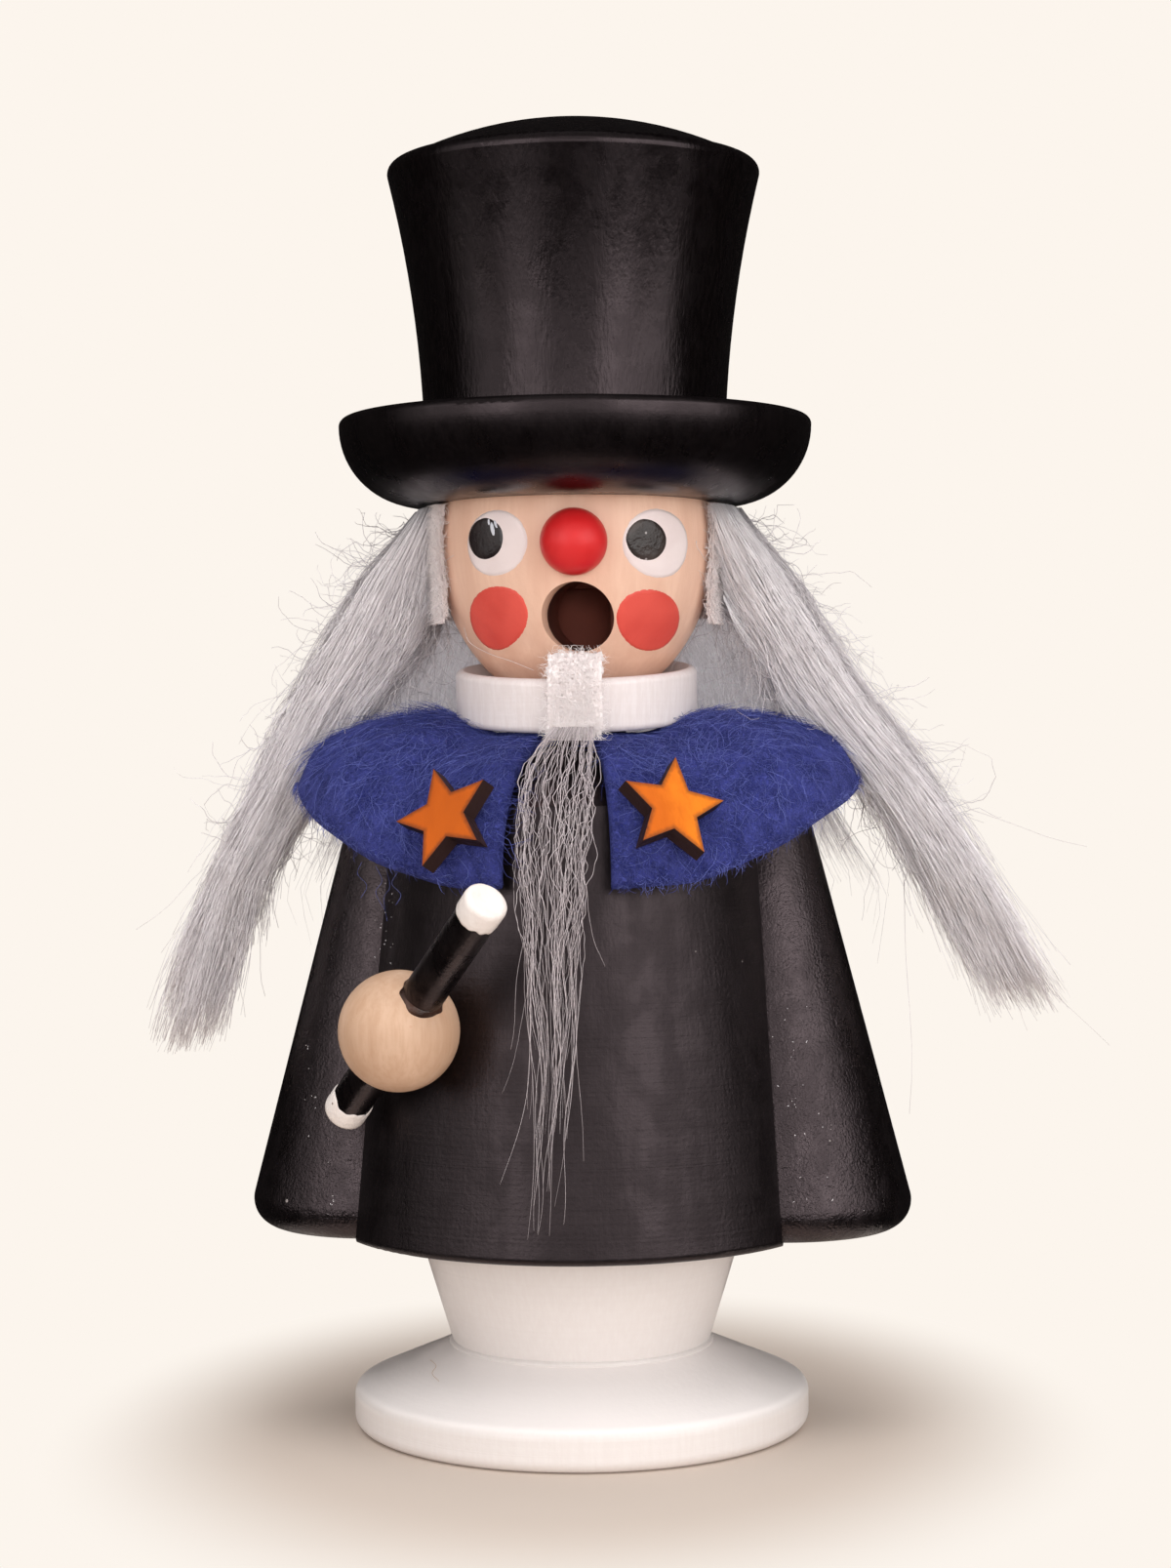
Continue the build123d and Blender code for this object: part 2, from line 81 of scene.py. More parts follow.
# a shader socket that can stand in sums
class Wire:
    def __init__(self, socket):
        self.socket, self.tree = socket, socket.id_data

    def __add__(self, other):
        return calc("ADD", self, other)

    def __sub__(self, other):
        return calc("SUBTRACT", self, other)

    def __mul__(self, other):
        return calc("MULTIPLY", self, other)


def feed(socket, value):
    if isinstance(value, Wire):
        value.tree.links.new(value.socket, socket)
    elif socket.type == "RGBA":
        socket.default_value = (*value[:3], 1)
    else:
        socket.default_value = value


def addNode(tree, kind, inputs=None, **settings):
    node = tree.nodes.new(kind)
    for label, value in settings.items():
        setattr(node, label, value)
    for label, value in (inputs or {}).items():
        feed(node.inputs[label], value)
    return node


def wireFrom(tree, kind, output, inputs=None, **settings):
    return Wire(addNode(tree, kind, inputs, **settings).outputs[output])


def calc(operation, *values, **settings):
    tree = next(value.tree for value in values if isinstance(value, Wire))
    return wireFrom(tree, "ShaderNodeMath", 0, dict(enumerate(values)), operation=operation, **settings)


def vectorCalc(operation, *values):
    output = "Value" if operation in ("DOT_PRODUCT", "LENGTH") else "Vector"
    return wireFrom(values[0].tree, "ShaderNodeVectorMath", output, dict(enumerate(values)), operation=operation)


def mixColor(factor, a, b):
    return wireFrom(factor.tree, "ShaderNodeMix", 2, {0: factor, 6: a, 7: b}, data_type="RGBA")


def ease(value, *limits):  # from low, from high, to low, to high
    inputs = dict(enumerate((value, *limits)))
    return wireFrom(value.tree, "ShaderNodeMapRange", 0, inputs, interpolation_type="SMOOTHSTEP")


def noise(vector, scale, detail=2.0, rough=0.5, distort=0.0):
    inputs = {"Vector": vector, "Scale": scale, "Detail": detail, "Roughness": rough, "Distortion": distort}
    return wireFrom(vector.tree, "ShaderNodeTexNoise", "Fac", inputs)


def objectPlace(tree):
    return wireFrom(tree, "ShaderNodeTexCoord", "Object")


def faceNormal(tree):
    return wireFrom(tree, "ShaderNodeNewGeometry", "Normal")


def split(vector):
    return [Wire(part) for part in addNode(vector.tree, "ShaderNodeSeparateXYZ", {0: vector}).outputs]


def fromAxis(x, y):
    return calc("SQRT", x * x + y * y)


def wires(sockets):
    return {socket.name: Wire(socket) for socket in sockets if socket.name}


def buildGroup(make, **inputs):
    tree = bpy.data.node_groups.new(make.__name__, "ShaderNodeTree")
    for label, value in inputs.items():
        kind = "NodeSocketVector" if isinstance(value, tuple) else "NodeSocketFloat"
        tree.interface.new_socket(name=label, in_out="INPUT", socket_type=kind).default_value = value
    made = make(objectPlace(tree), **wires(tree.nodes.new("NodeGroupInput").outputs))
    for label in made:
        tree.interface.new_socket(name=label, in_out="OUTPUT", socket_type="NodeSocketFloat")
    addNode(tree, "NodeGroupOutput", made)


def useGroup(tree, name, **inputs):
    return wires(addNode(tree, "ShaderNodeGroup", inputs, node_tree=bpy.data.node_groups[name]).outputs)


def newMaterial(name, **plain):
    material = bpy.data.materials.new(name)
    material.use_nodes = True
    shader = material.node_tree.nodes["Principled BSDF"]
    for label, value in plain.items():
        feed(shader.inputs[label.replace("_", " ")], value)
    return material.node_tree, shader


def finish(shader, tone, rough=None, height=None, depth=0.1 * mm):
    feed(shader.inputs["Base Color"], tone)
    if rough:
        feed(shader.inputs["Roughness"], rough)
    if height:
        lumps = wireFrom(height.tree, "ShaderNodeBump", "Normal", {"Height": height, "Distance": depth})
        feed(shader.inputs["Normal"], lumps)


def makeAll(make, shared, kinds):
    for name, change in kinds.items():
        make(name, {**shared, **change})


# turned wood: upright grain and the lathe's level lines
def turnedGrain(place, across, along, lines):
    tree = place.tree
    stretch = wireFrom(tree, "ShaderNodeCombineXYZ", 0, {"X": across, "Y": across, "Z": along})
    spot = vectorCalc("MULTIPLY", place, stretch)
    fine, broad = noise(spot, 1.0, 3.0, 0.6), noise(spot, 0.13)
    level = {"W": split(place)[2], "Scale": lines, "Detail": 2.0}
    line = wireFrom(tree, "ShaderNodeTexNoise", "Fac", level, noise_dimensions="1D")
    return {"streak": ease(fine, 0.36, 0.68), "broad": ease(broad, 0.3, 0.7), "line": ease(line, 0.3, 0.7),
            "height": broad * 0.6 + fine * 0.4}


# brushed paint: orange peel, soft patches
def paintPeel(place, scale):
    swell = noise(place, scale * 0.12, distort=0.4)
    return {"patch": ease(swell, 0.32, 0.7), "height": swell * 1.4 + noise(place, scale, rough=0.55)}


# dust, crumbs and pin holes: a few cells of a random pattern
def paintSpecks(place, scale, amount, size):
    cells = wires(addNode(place.tree, "ShaderNodeTexVoronoi", {"Vector": place, "Scale": scale}).outputs)
    chance = wires(addNode(place.tree, "ShaderNodeSeparateColor", {"Color": cells["Color"]}).outputs)
    reach = size * (chance["Green"] * 0.7 + 0.3)
    return {"mask": calc("LESS_THAN", chance["Red"], amount) * ease(cells["Distance"], reach, reach * 0.6)}


# matted wool: thin ridges of two tangled patterns over a soft cloud
def feltFibre(place, scale):
    ridges = []
    for factor, distort, sharp in ((1.0, 1.6, 16.0), (2.3, 1.1, 11.0)):
        wave = noise(place, scale * factor, 1.5, 0.5, distort)
        ridges.append(calc("SUBTRACT", 1.0, calc("ABSOLUTE", wave - 0.5) * sharp, use_clamp=True))
    strand = calc("MAXIMUM", ridges[0], ridges[1] * 0.7)
    cloud = noise(place, scale * 0.35, 3.0, 0.6, 0.5)
    return {"strand": strand, "cloud": ease(cloud, 0.3, 0.7), "height": strand * 0.6 + cloud}


# tone of single hairs and fibres, set on the mesh, with a little change along each
def strandShade(place, scale):
    tone = wireFrom(place.tree, "ShaderNodeAttribute", "Fac", attribute_name="strandTone")
    drift = noise(place, scale)
    return {"tone": calc("MULTIPLY_ADD", drift - 0.5, 0.5, tone, use_clamp=True), "gloss": ease(drift, 0.3, 0.7)}


# sawn star: which face is the broad one, and how far in from the outline
def starOutline(place, centre, facing, tip):
    tipReach, edgeWay = 5.3 * mm, (0.387, 0.922)  # an edge leaves the tip square to edgeWay
    spot = vectorCalc("SUBTRACT", place, centre)
    up = vectorCalc("DOT_PRODUCT", spot, tip)
    side = vectorCalc("DOT_PRODUCT", spot, vectorCalc("CROSS_PRODUCT", facing, tip))
    reach = fromAxis(up, side)
    fifth = math.radians(72)
    angle = calc("ARCTAN2", side, up) + math.radians(36 + 360)
    fold = calc("ABSOLUTE", calc("FLOORED_MODULO", angle, fifth) - fifth / 2)
    toTip = reach * calc("COSINE", fold) - tipReach
    toSide = reach * calc("SINE", fold)
    inset = (toTip * edgeWay[0] + toSide * edgeWay[1]) * -1.0
    return {"top": ease(vectorCalc("DOT_PRODUCT", faceNormal(place.tree), facing), 0.55, 0.85), "inset": inset}


blank = (0.0, 0.0, 0.0)
buildGroup(turnedGrain, across=2600.0, along=150.0, lines=2200.0)
buildGroup(paintPeel, scale=3000.0)
buildGroup(paintSpecks, scale=900.0, amount=0.06, size=0.22)
buildGroup(feltFibre, scale=1400.0)
buildGroup(strandShade, scale=500.0)
buildGroup(starOutline, centre=blank, facing=blank, tip=blank)
print("shader groups built:", len(bpy.data.node_groups))


# satin paint over turned wood
def satinPaint(name, look):
    tree, shader = newMaterial(name, Specular_IOR_Level=look["specular"], Specular_Tint=look["tint"])
    grain = useGroup(tree, "turnedGrain", across=look["across"], along=look["along"])
    peel = useGroup(tree, "paintPeel", scale=look["peel"])
    specks = useGroup(tree, "paintSpecks", scale=look["speckScale"], amount=look["specks"], size=0.16)
    tone = mixColor(grain["streak"], look["dark"], look["light"])
    tone = mixColor(grain["line"] * look["lines"], tone, look["lineColor"])
    tone = mixColor(specks["mask"], tone, look["speckColor"])
    rough = ease(grain["broad"] * 0.5 + peel["patch"] * 0.5, 0.15, 0.85, *look["rough"])
    depth = look["grainDepth"]
    if "wrinkled" in look:  # deeper grain towards one height
        depth = ease(split(objectPlace(tree))[2], *look["wrinkled"], depth, 2.6 * depth)
    height = grain["height"] * depth + peel["height"] * look["peelDepth"]
    height = height + grain["line"] * (look["lines"] * 0.25) + specks["mask"] * look["speckRise"]
    if "paintedTopLight" in look:  # painted light: the sloping top is painted lighter, standing in for the light that the coat above keeps off it
        tone = mixColor(ease(split(faceNormal(tree))[2], 0.35, 0.8), tone, look["paintedTopLight"])
    if "soot" in look:  # painted outside only, the smoke chamber is bare and sooted
        x, y, z = split(objectPlace(tree))
        inside = ease(fromAxis(x, y), *look["chamberWall"]) * ease(z, *look["chamberTop"])
        soot = mixColor(ease(z, *look["sooted"]), look["bareWood"], look["soot"])
        tone, rough = mixColor(inside, tone, soot), calc("MAXIMUM", rough, inside * 0.85)
    finish(shader, tone, rough, height)


makeAll(satinPaint, {
    "dark": (0.0016, 0.0011, 0.0012), "light": (0.0038, 0.0028, 0.0030), "lineColor": (0.007, 0.0055, 0.0055),
    "lines": 0.12, "tint": (1.0, 0.78, 0.82), "across": 3200.0, "along": 260.0, "peel": 2600.0, "grainDepth": 0.9,
    "peelDepth": 0.25, "rough": (0.26, 0.40), "specular": 0.8, "speckScale": 700.0, "specks": 0.006,
    "speckColor": (0.30, 0.27, 0.26), "speckRise": 0.3,
}, {
    "hatPaint": {"rough": (0.20, 0.30), "specular": 0.5, "lines": 0.02, "across": 2400.0, "along": 620.0,
                 "grainDepth": 0.7, "peelDepth": 0.06, "specks": 0.0, "wrinkled": (112 * mm, 97 * mm)},
    "brimPaint": {"rough": (0.27, 0.36), "specular": 0.6, "grainDepth": 0.2, "peelDepth": 0.1, "lines": 0.05,
                  "specks": 0.0},
    "sleevePaint": {"peel": 3800.0, "peelDepth": 0.8, "grainDepth": 0.6, "specks": 0.04},
    "wandPaint": {"rough": (0.22, 0.4), "lines": 0.0, "specks": 0.0},
    "coatPaint": {"rough": (0.36, 0.48), "specular": 0.6, "lines": 0.22, "peelDepth": 0.3, "grainDepth": 0.55,
                  "specks": 0.012, "bareWood": (0.55, 0.36, 0.20), "soot": (0.05, 0.032, 0.02),
                  "chamberWall": (14.6 * mm, 14.3 * mm), "chamberTop": (66 * mm, 60 * mm),
                  "sooted": (26 * mm, 52 * mm)},
})
makeAll(satinPaint, {
    "dark": (0.766, 0.706, 0.68), "light": (0.785, 0.73, 0.705), "lineColor": (0.75, 0.688, 0.66), "lines": 0.25,
    "tint": (1.0, 1.0, 1.0), "across": 2400.0, "along": 220.0, "peel": 1800.0, "grainDepth": 0.2, "peelDepth": 0.22,
    "rough": (0.30, 0.45), "specular": 0.5, "speckScale": 300.0, "specks": 0.02, "speckColor": (0.50, 0.42, 0.38),
    "speckRise": -0.6,
}, {
    # the foot's lighter top tone is painted light, for the shade under the coat
    "basePaint": {}, "footPaint": {"paintedTopLight": (0.92, 0.855, 0.83)},
    "ringPaint": {"dark": (0.80, 0.715, 0.705), "light": (0.85, 0.775, 0.77), "grainDepth": 0.5, "lines": 0.12,
                  "specks": 0.01},
})


# brown stain inside the mouth and the flue: where it is, and its colour, painted paler deeper in as painted light
# where the lamps hardly reach
def mouthStain(tree, look):
    turn = {"Vector": objectPlace(tree), "Angle": math.radians(-faceTurn)}
    facing = wireFrom(tree, "ShaderNodeVectorRotate", 0, turn, rotation_type="Z_AXIS")
    fromLips = vectorCalc("SUBTRACT", facing, look["lips"])
    depth = vectorCalc("DOT_PRODUCT", fromLips, look["drill"])
    aside = vectorCalc("LENGTH", vectorCalc("CROSS_PRODUCT", fromLips, look["drill"]))
    ragged = (noise(objectPlace(tree), 900.0) - 0.5) * (0.6 * mm)
    bore, flueTop = (3.8 * mm, 3.6 * mm), (86.5 * mm, 86.0 * mm)
    inMouth = ease(depth + ragged, look["stainFrom"] - 0.1 * mm, look["stainFrom"] + 0.1 * mm) * ease(aside, *bore)
    x, y, z = split(facing)
    inFlue = ease(fromAxis(x, y), *bore) * ease(z, *flueTop)
    # painted light: deeper in, the stain is painted paler, where little light gets
    stain = mixColor(ease(depth, *look["paler"]), look["stain"], look["deepStainPaintedLight"])
    return calc("MAXIMUM", inMouth, inFlue), stain


# bare, fine grained wood
def bareWood(name, look):
    tree, shader = newMaterial(name, Specular_IOR_Level=look["specular"])
    grain = useGroup(tree, "turnedGrain", across=look["across"], along=look["along"], lines=1400.0)
    peel = useGroup(tree, "paintPeel", scale=2600.0)
    specks = useGroup(tree, "paintSpecks", scale=700.0, amount=look["specks"], size=0.25)
    tone = mixColor(grain["broad"], look["dark"], look["light"])
    tone = mixColor(grain["streak"] * 0.35, tone, look["streak"])
    tone = mixColor(specks["mask"] * 0.5, tone, look["fleck"])
    rough = ease(peel["patch"], 0.0, 1.0, *look["rough"])
    if "stain" in look:
        stained, stain = mouthStain(tree, look)
        tone, rough = mixColor(stained, tone, stain), calc("MAXIMUM", rough, stained * 0.7)
    finish(shader, tone, rough, grain["height"] * 0.6 + peel["height"] * 0.2)


makeAll(bareWood, {
    "dark": (0.765, 0.47, 0.345), "light": (0.87, 0.58, 0.44), "streak": (0.76, 0.46, 0.33),
    "fleck": (0.55, 0.30, 0.20), "across": 2200.0, "along": 170.0, "specks": 0.03, "rough": (0.40, 0.56),
    "specular": 0.4,
}, {
    "ballWood": {"dark": (0.51, 0.315, 0.203), "light": (0.625, 0.42, 0.295), "streak": (0.47, 0.27, 0.16)},
    "dowelWood": {"dark": (0.55, 0.36, 0.20), "light": (0.68, 0.47, 0.28), "streak": (0.46, 0.28, 0.14)},
    "headWood": {"stain": (0.062, 0.016, 0.010), "deepStainPaintedLight": (0.26, 0.075, 0.052), "paler": (4.5 * mm, 13 * mm),
                 "stainFrom": 4.6 * mm, "lips": (0.0, -13.95 * mm, 81.67 * mm), "drill": (0.1555, 0.9853, 0.0706)},
})


# hand painted dabs: eyes, pupils, cheeks, the nose and the wand's ends, and a painted highlight on the left pupil
def dabPaint(name, look):
    tree, shader = newMaterial(name, Specular_IOR_Level=look["specular"])
    peel = useGroup(tree, "paintPeel", scale=1800.0)
    specks = useGroup(tree, "paintSpecks", scale=look["speckScale"], amount=look["specks"], size=0.3)
    tone = mixColor(peel["patch"], look["dark"], look["light"])
    tone = mixColor(specks["mask"], tone, look["speckColor"])
    finish(shader, tone, ease(peel["patch"], 0.0, 1.0, *look["rough"]), peel["height"] * look["depth"])


makeAll(dabPaint, {
    "dark": (0.80, 0.68, 0.67), "light": (0.86, 0.75, 0.74), "rough": (0.30, 0.42), "specular": 0.5, "depth": 0.3,
    "speckScale": 1500.0, "specks": 0.0, "speckColor": (0.6, 0.5, 0.5),
}, {
    "eyeWhite": {},
    "pupilPaint": {"dark": (0.014, 0.010, 0.011), "light": (0.03, 0.022, 0.022), "rough": (0.18, 0.3), "depth": 0.5},
    "greyPupil": {"dark": (0.030, 0.022, 0.020), "light": (0.085, 0.062, 0.055), "rough": (0.25, 0.4), "depth": 0.8,
                  "specks": 0.12, "speckColor": (0.36, 0.33, 0.33)},
    # a pale bluish painted highlight, laid as dabs on the left pupil
    "glossPaint": {"dark": (0.55, 0.58, 0.66), "light": (0.75, 0.76, 0.82)},
    "cheekPaint": {"dark": (0.70, 0.072, 0.052), "light": (0.78, 0.092, 0.066), "rough": (0.42, 0.55), "depth": 0.5},
    "noseLacquer": {"dark": (0.62, 0.016, 0.018), "light": (0.68, 0.022, 0.024), "rough": (0.34, 0.44), "depth": 0.2,
                    "specular": 0.4},
    "tipPaint": {"dark": (0.80, 0.72, 0.68), "light": (0.88, 0.82, 0.79), "depth": 0.9, "specks": 0.06,
                 "speckScale": 900.0, "speckColor": (0.16, 0.10, 0.08)},
    "lipPaint": {"dark": (0.012, 0.007, 0.006), "light": (0.07, 0.028, 0.016), "rough": (0.25, 0.4), "depth": 1.0},
})


def starFrame(node):  # centre, facing and tip of a star's broad face
    mesh = turned[node].data
    facing = max(mesh.polygons, key=lambda face: face.area * (face.normal.z > 0.1)).normal.copy()
    points = [v.co for v in mesh.vertices]
    top = max(p.dot(facing) for p in points)
    rim = [p for p in points if p.dot(facing) > top - 0.1 * mm]
    centre = Vector(np.unique(np.round([list(p) for p in rim], 6), axis=0).mean(axis=0))
    tip = max(rim, key=lambda p: (p - centre).length) - centre
    return {"centre": tuple(centre), "facing": tuple(facing), "tip": tuple(tip.normalized())}


# stained star: orange on the broad face, scorched where it was cut
def starWood(name, look):
    tree, shader = newMaterial(name, Specular_IOR_Level=0.2)
    outline = useGroup(tree, "starOutline", **starFrame(look["node"]))
    grain = useGroup(tree, "turnedGrain", across=1500.0, along=320.0)
    specks = useGroup(tree, "paintSpecks", scale=800.0, amount=0.05, size=0.3)
    stain = mixColor(grain["broad"], look["dark"], look["light"])
    stain = mixColor(grain["streak"] * 0.35, stain, look["streak"])
    stain = mixColor(specks["mask"], stain, look["fleck"])
    ragged = (noise(objectPlace(tree), 2500.0, 3.0) - 0.5) * (0.35 * mm)
    rim = ease(outline["inset"] + ragged, 0.55 * mm, 0.0)
    burnt = calc("MAXIMUM", calc("SUBTRACT", 1.0, outline["top"]), rim * 0.6)
    finish(shader, mixColor(burnt, stain, look["burnt"]), grain["streak"] * 0.2 + 0.5, grain["height"], 0.12 * mm)


makeAll(starWood, {
    "dark": (0.60, 0.125, 0.005), "light": (0.78, 0.20, 0.008), "streak": (0.52, 0.105, 0.008),
    "fleck": (0.30, 0.06, 0.01), "burnt": (0.034, 0.016, 0.013),
}, {
    "leftStarWood": {"node": "left_star", "dark": (0.40, 0.070, 0.004), "light": (0.54, 0.105, 0.006)},
    "rightStarWood": {"node": "right_star"},
})


# stamped dish, darkened by embers, and its tack
def metal(name, look):
    tree, shader = newMaterial(name)
    peel = useGroup(tree, "paintPeel", scale=1500.0)
    specks = useGroup(tree, "paintSpecks", scale=700.0, amount=0.2, size=0.3)
    scorch = calc("MAXIMUM", peel["patch"] * look["scorch"], specks["mask"] * 0.6)
    feed(shader.inputs["Metallic"], ease(scorch, 0.2, 0.9, 1.0, 0.25))
    tone, rough = mixColor(scorch, look["color"], look["burnt"]), ease(scorch, 0.0, 1.0, *look["rough"])
    finish(shader, tone, rough, peel["height"], 0.06 * mm)


makeAll(metal, {}, {
    "dishTin": {"color": (0.62, 0.60, 0.56), "burnt": (0.06, 0.045, 0.035), "scorch": 0.75, "rough": (0.3, 0.75)},
    "tackBrass": {"color": (0.78, 0.55, 0.22), "burnt": (0.16, 0.09, 0.03), "scorch": 0.5, "rough": (0.25, 0.6)},
})


# wool, hair and cloth
def woolFelt(name, look):
    tree, shader = newMaterial(name, Roughness=0.9, Specular_IOR_Level=0.15, Sheen_Weight=0.12, Sheen_Roughness=0.5,
                               Sheen_Tint=(0.35, 0.4, 0.9))
    fibre = useGroup(tree, "feltFibre", scale=1300.0)
    tone = mixColor(fibre["cloud"], look["dark"], look["light"])
    finish(shader, mixColor(fibre["strand"] * 0.55, tone, look["strand"]), None, fibre["height"], 0.22 * mm)


def strandFinish(name, look):
    tree, shader = newMaterial(name, Specular_IOR_Level=look["specular"], Emission_Strength=look["through"])
    shade = useGroup(tree, "strandShade", scale=look["scale"])
    tone = mixColor(shade["tone"], look["dark"], look["light"])
    if look["through"]:  # painted light: the strands glow a little in their own tone, though they are no lamp
        feed(shader.inputs["Emission Color"], tone)
    finish(shader, tone, ease(shade["gloss"], 0.0, 1.0, *look["rough"]))


def wovenCloth(name, look):
    tree, shader = newMaterial(name, Roughness=0.85, Specular_IOR_Level=0.2)
    x, y, z = split(objectPlace(tree))
    threads = []
    for along in (calc("ARCTAN2", x, y) * look["reach"], z):
        threads.append(calc("ABSOLUTE", calc("SINE", along * (math.pi / look["pitch"]))))
    weave = threads[0] * threads[1]
    fuzz = noise(objectPlace(tree), 1600.0, 3.0, 0.6)
    tone = mixColor(ease(fuzz * 0.5 + weave, 0.2, 1.0), look["dark"], look["light"])
    finish(shader, tone, None, weave * 0.8 + fuzz, 0.25 * mm)


woolFelt("capeFelt", {"dark": (0.012, 0.016, 0.105), "light": (0.042, 0.050, 0.245), "strand": (0.095, 0.11, 0.42)})
# through is painted light: an emission that brightens the shaded back hair and the white threads
makeAll(strandFinish, {"specular": 0.5, "through": 0.0}, {
    "feltFibres": {"dark": (0.028, 0.036, 0.20), "light": (0.18, 0.215, 0.62), "scale": 300.0, "rough": (0.5, 0.7),
                   "specular": 0.3},
    "tuftHair": {"dark": (0.50, 0.455, 0.475), "light": (0.975, 0.93, 0.95), "scale": 260.0, "rough": (0.28, 0.45)},
    "backHair": {"dark": (0.88, 0.84, 0.86), "light": (0.98, 0.95, 0.965), "scale": 700.0, "rough": (0.12, 0.3),
                 "specular": 0.9, "through": 0.10},
    "beardHair": {"dark": (0.36, 0.31, 0.32), "light": (0.74, 0.66, 0.68), "scale": 400.0, "rough": (0.3, 0.5)},
    "clothThread": {"dark": (0.97, 0.875, 0.865), "light": (1.0, 0.94, 0.935), "scale": 1500.0, "rough": (0.6, 0.8),
                    "specular": 0.25, "through": 0.012},
})
wovenCloth("bandCloth", {
    "reach": 15.0 * mm, "pitch": 0.55 * mm, "dark": (0.93, 0.85, 0.84), "light": (0.99, 0.93, 0.925)})

finishes = {
    "foot_disc": "footPaint", "pedestal": "basePaint", "ember_plate": "dishTin", "plate_tack": "tackBrass",
    "coat_body": "coatPaint", "left_sleeve": "sleevePaint", "right_sleeve": "sleevePaint", "hand_ball": "ballWood",
    "wand": "wandPaint", "left_star": "leftStarWood", "right_star": "rightStarWood", "collar_ring": "ringPaint",
    "head": "headWood", "nose_ball": "noseLacquer", "hat_brim": "brimPaint", "hat_crown": "hatPaint",
    "felt_collar": "capeFelt", "wig_band": "bandCloth", "beard_tab": "clothThread", "left_hair": "tuftHair",
    "right_hair": "tuftHair", "back_hair": "backHair", "beard_hair": "beardHair",
}
for node, piece in turned.items():
    piece.data.materials.clear()
    piece.data.materials.append(bpy.data.materials[finishes.get(node, "dowelWood")])
print("finishes on", len(turned), "pieces")


# mesh helpers: sizes in millimetres, meshes in metres
def meshFrom(name, points, faceSets, tone=None):
    corners = np.concatenate([np.asarray(faces).ravel() for faces in faceSets])
    sizes = np.concatenate([np.full(len(faces), np.asarray(faces).shape[1]) for faces in faceSets])
    starts = np.concatenate([[0], np.cumsum(sizes)[:-1]])
    mesh = bpy.data.meshes.new(name)
    mesh.vertices.add(len(points))
    mesh.vertices.foreach_set("co", (np.asarray(points) * mm).astype(np.float32).ravel())
    mesh.loops.add(len(corners))
    mesh.loops.foreach_set("vertex_index", corners.astype(np.int32))
    mesh.polygons.add(len(sizes))
    mesh.polygons.foreach_set("loop_start", starts.astype(np.int32))
    mesh.polygons.foreach_set("use_smooth", np.ones(len(sizes), bool))
    if tone is not None:
        mesh.attributes.new("strandTone", "FLOAT", "POINT").data.foreach_set("value", tone.astype(np.float32).ravel())
    mesh.update(calc_edges=True)
    mesh.validate()
    return mesh


def addObject(name, mesh, material):
    piece = bpy.data.objects.new(name, mesh)
    scene.collection.objects.link(piece)
    mesh.materials.append(bpy.data.materials[material])
    return piece


def addPiece(name, mesh, material, instead=None, body="figure"):
    piece = addObject(name, mesh, material)
    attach(piece, body)
    if instead:
        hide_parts(instead)
    return piece


def gridFaces(rows, columns):  # each row is a closed ring
    index = np.arange(rows * columns).reshape(rows, columns)
    beside = np.roll(index, -1, axis=1)
    return index, np.stack([index[:-1], index[1:], beside[1:], beside[:-1]], -1).reshape(-1, 4)


def unit(vectors):
    return vectors / (np.linalg.norm(vectors, axis=-1, keepdims=True) + 1e-9)


def addStrands(name, paths, radius, tone, rng, material, slot, instead=None, sides=3, body="figure"):
    count, steps = paths.shape[:2]
    along = unit(np.gradient(paths, axis=1))
    across = unit(np.cross(along, rng.normal(size=(count, 1, 3))))
    up = np.cross(along, across)
    angles = 2 * np.pi * np.arange(sides) / sides
    spokes = np.cos(angles)[:, None] * across[:, :, None, :] + np.sin(angles)[:, None] * up[:, :, None, :]
    rings = paths[:, :, None, :] + radius[:, :, None, None] * spokes
    first = (np.arange(count)[:, None, None] * steps + np.arange(steps - 1)[None, :, None]) * sides
    here = first + np.arange(sides)
    beside = first + (np.arange(sides) + 1) % sides
    quads = np.stack([here, beside, beside + sides, here + sides], -1).reshape(-1, 4)
    root = np.arange(count)[:, None] * steps * sides + np.arange(sides)[::-1]
    tip = (np.arange(count)[:, None] * steps + steps - 1) * sides + np.arange(sides)
    mesh = meshFrom(name, rings.reshape(-1, 3), [quads, root, tip], np.repeat(tone, steps * sides))
    return addPiece(name, mesh, material, instead, body)


def taper(count, steps, thick, rng, tipShare=0.25):
    each = thick * (1 + rng.uniform(-0.3, 0.3, count))
    return each[:, None] * (1 - (1 - tipShare) * np.linspace(0, 1, steps) ** 3)


def glide(x, xs, ys):  # smooth curve through the points, no overshoot to speak of
    xs, ys = np.asarray(xs, float), np.asarray(ys, float)
    slope = np.gradient(ys, xs)
    i = np.clip(np.searchsorted(xs, x) - 1, 0, len(xs) - 2)
    span = xs[i + 1] - xs[i]
    t = np.clip((x - xs[i]) / span, 0, 1.4)
    a, b = 2 * t**3 - 3 * t**2 + 1, t**3 - 2 * t**2 + t
    c, d = -2 * t**3 + 3 * t**2, t**3 - t**2
    return a * ys[i] + b * span * slope[i] + c * ys[i + 1] + d * span * slope[i + 1]


def softStep(x, low, high):
    t = np.clip((x - low) / (high - low), 0, 1)
    return t * t * (3 - 2 * t)


def waves(t, total, rng, count, *kinds):  # sideways waves for each hair, each kind with its size and length in mm
    wave = 0
    for size, length in kinds:
        phase = rng.uniform(0, 2 * np.pi, (count, 1))
        turns = total / length * rng.uniform(0.7, 1.35, (count, 1))
        wave = wave + size * rng.uniform(0.4, 1.3, (count, 1)) * np.sin(2 * np.pi * turns * t + phase)
    return wave


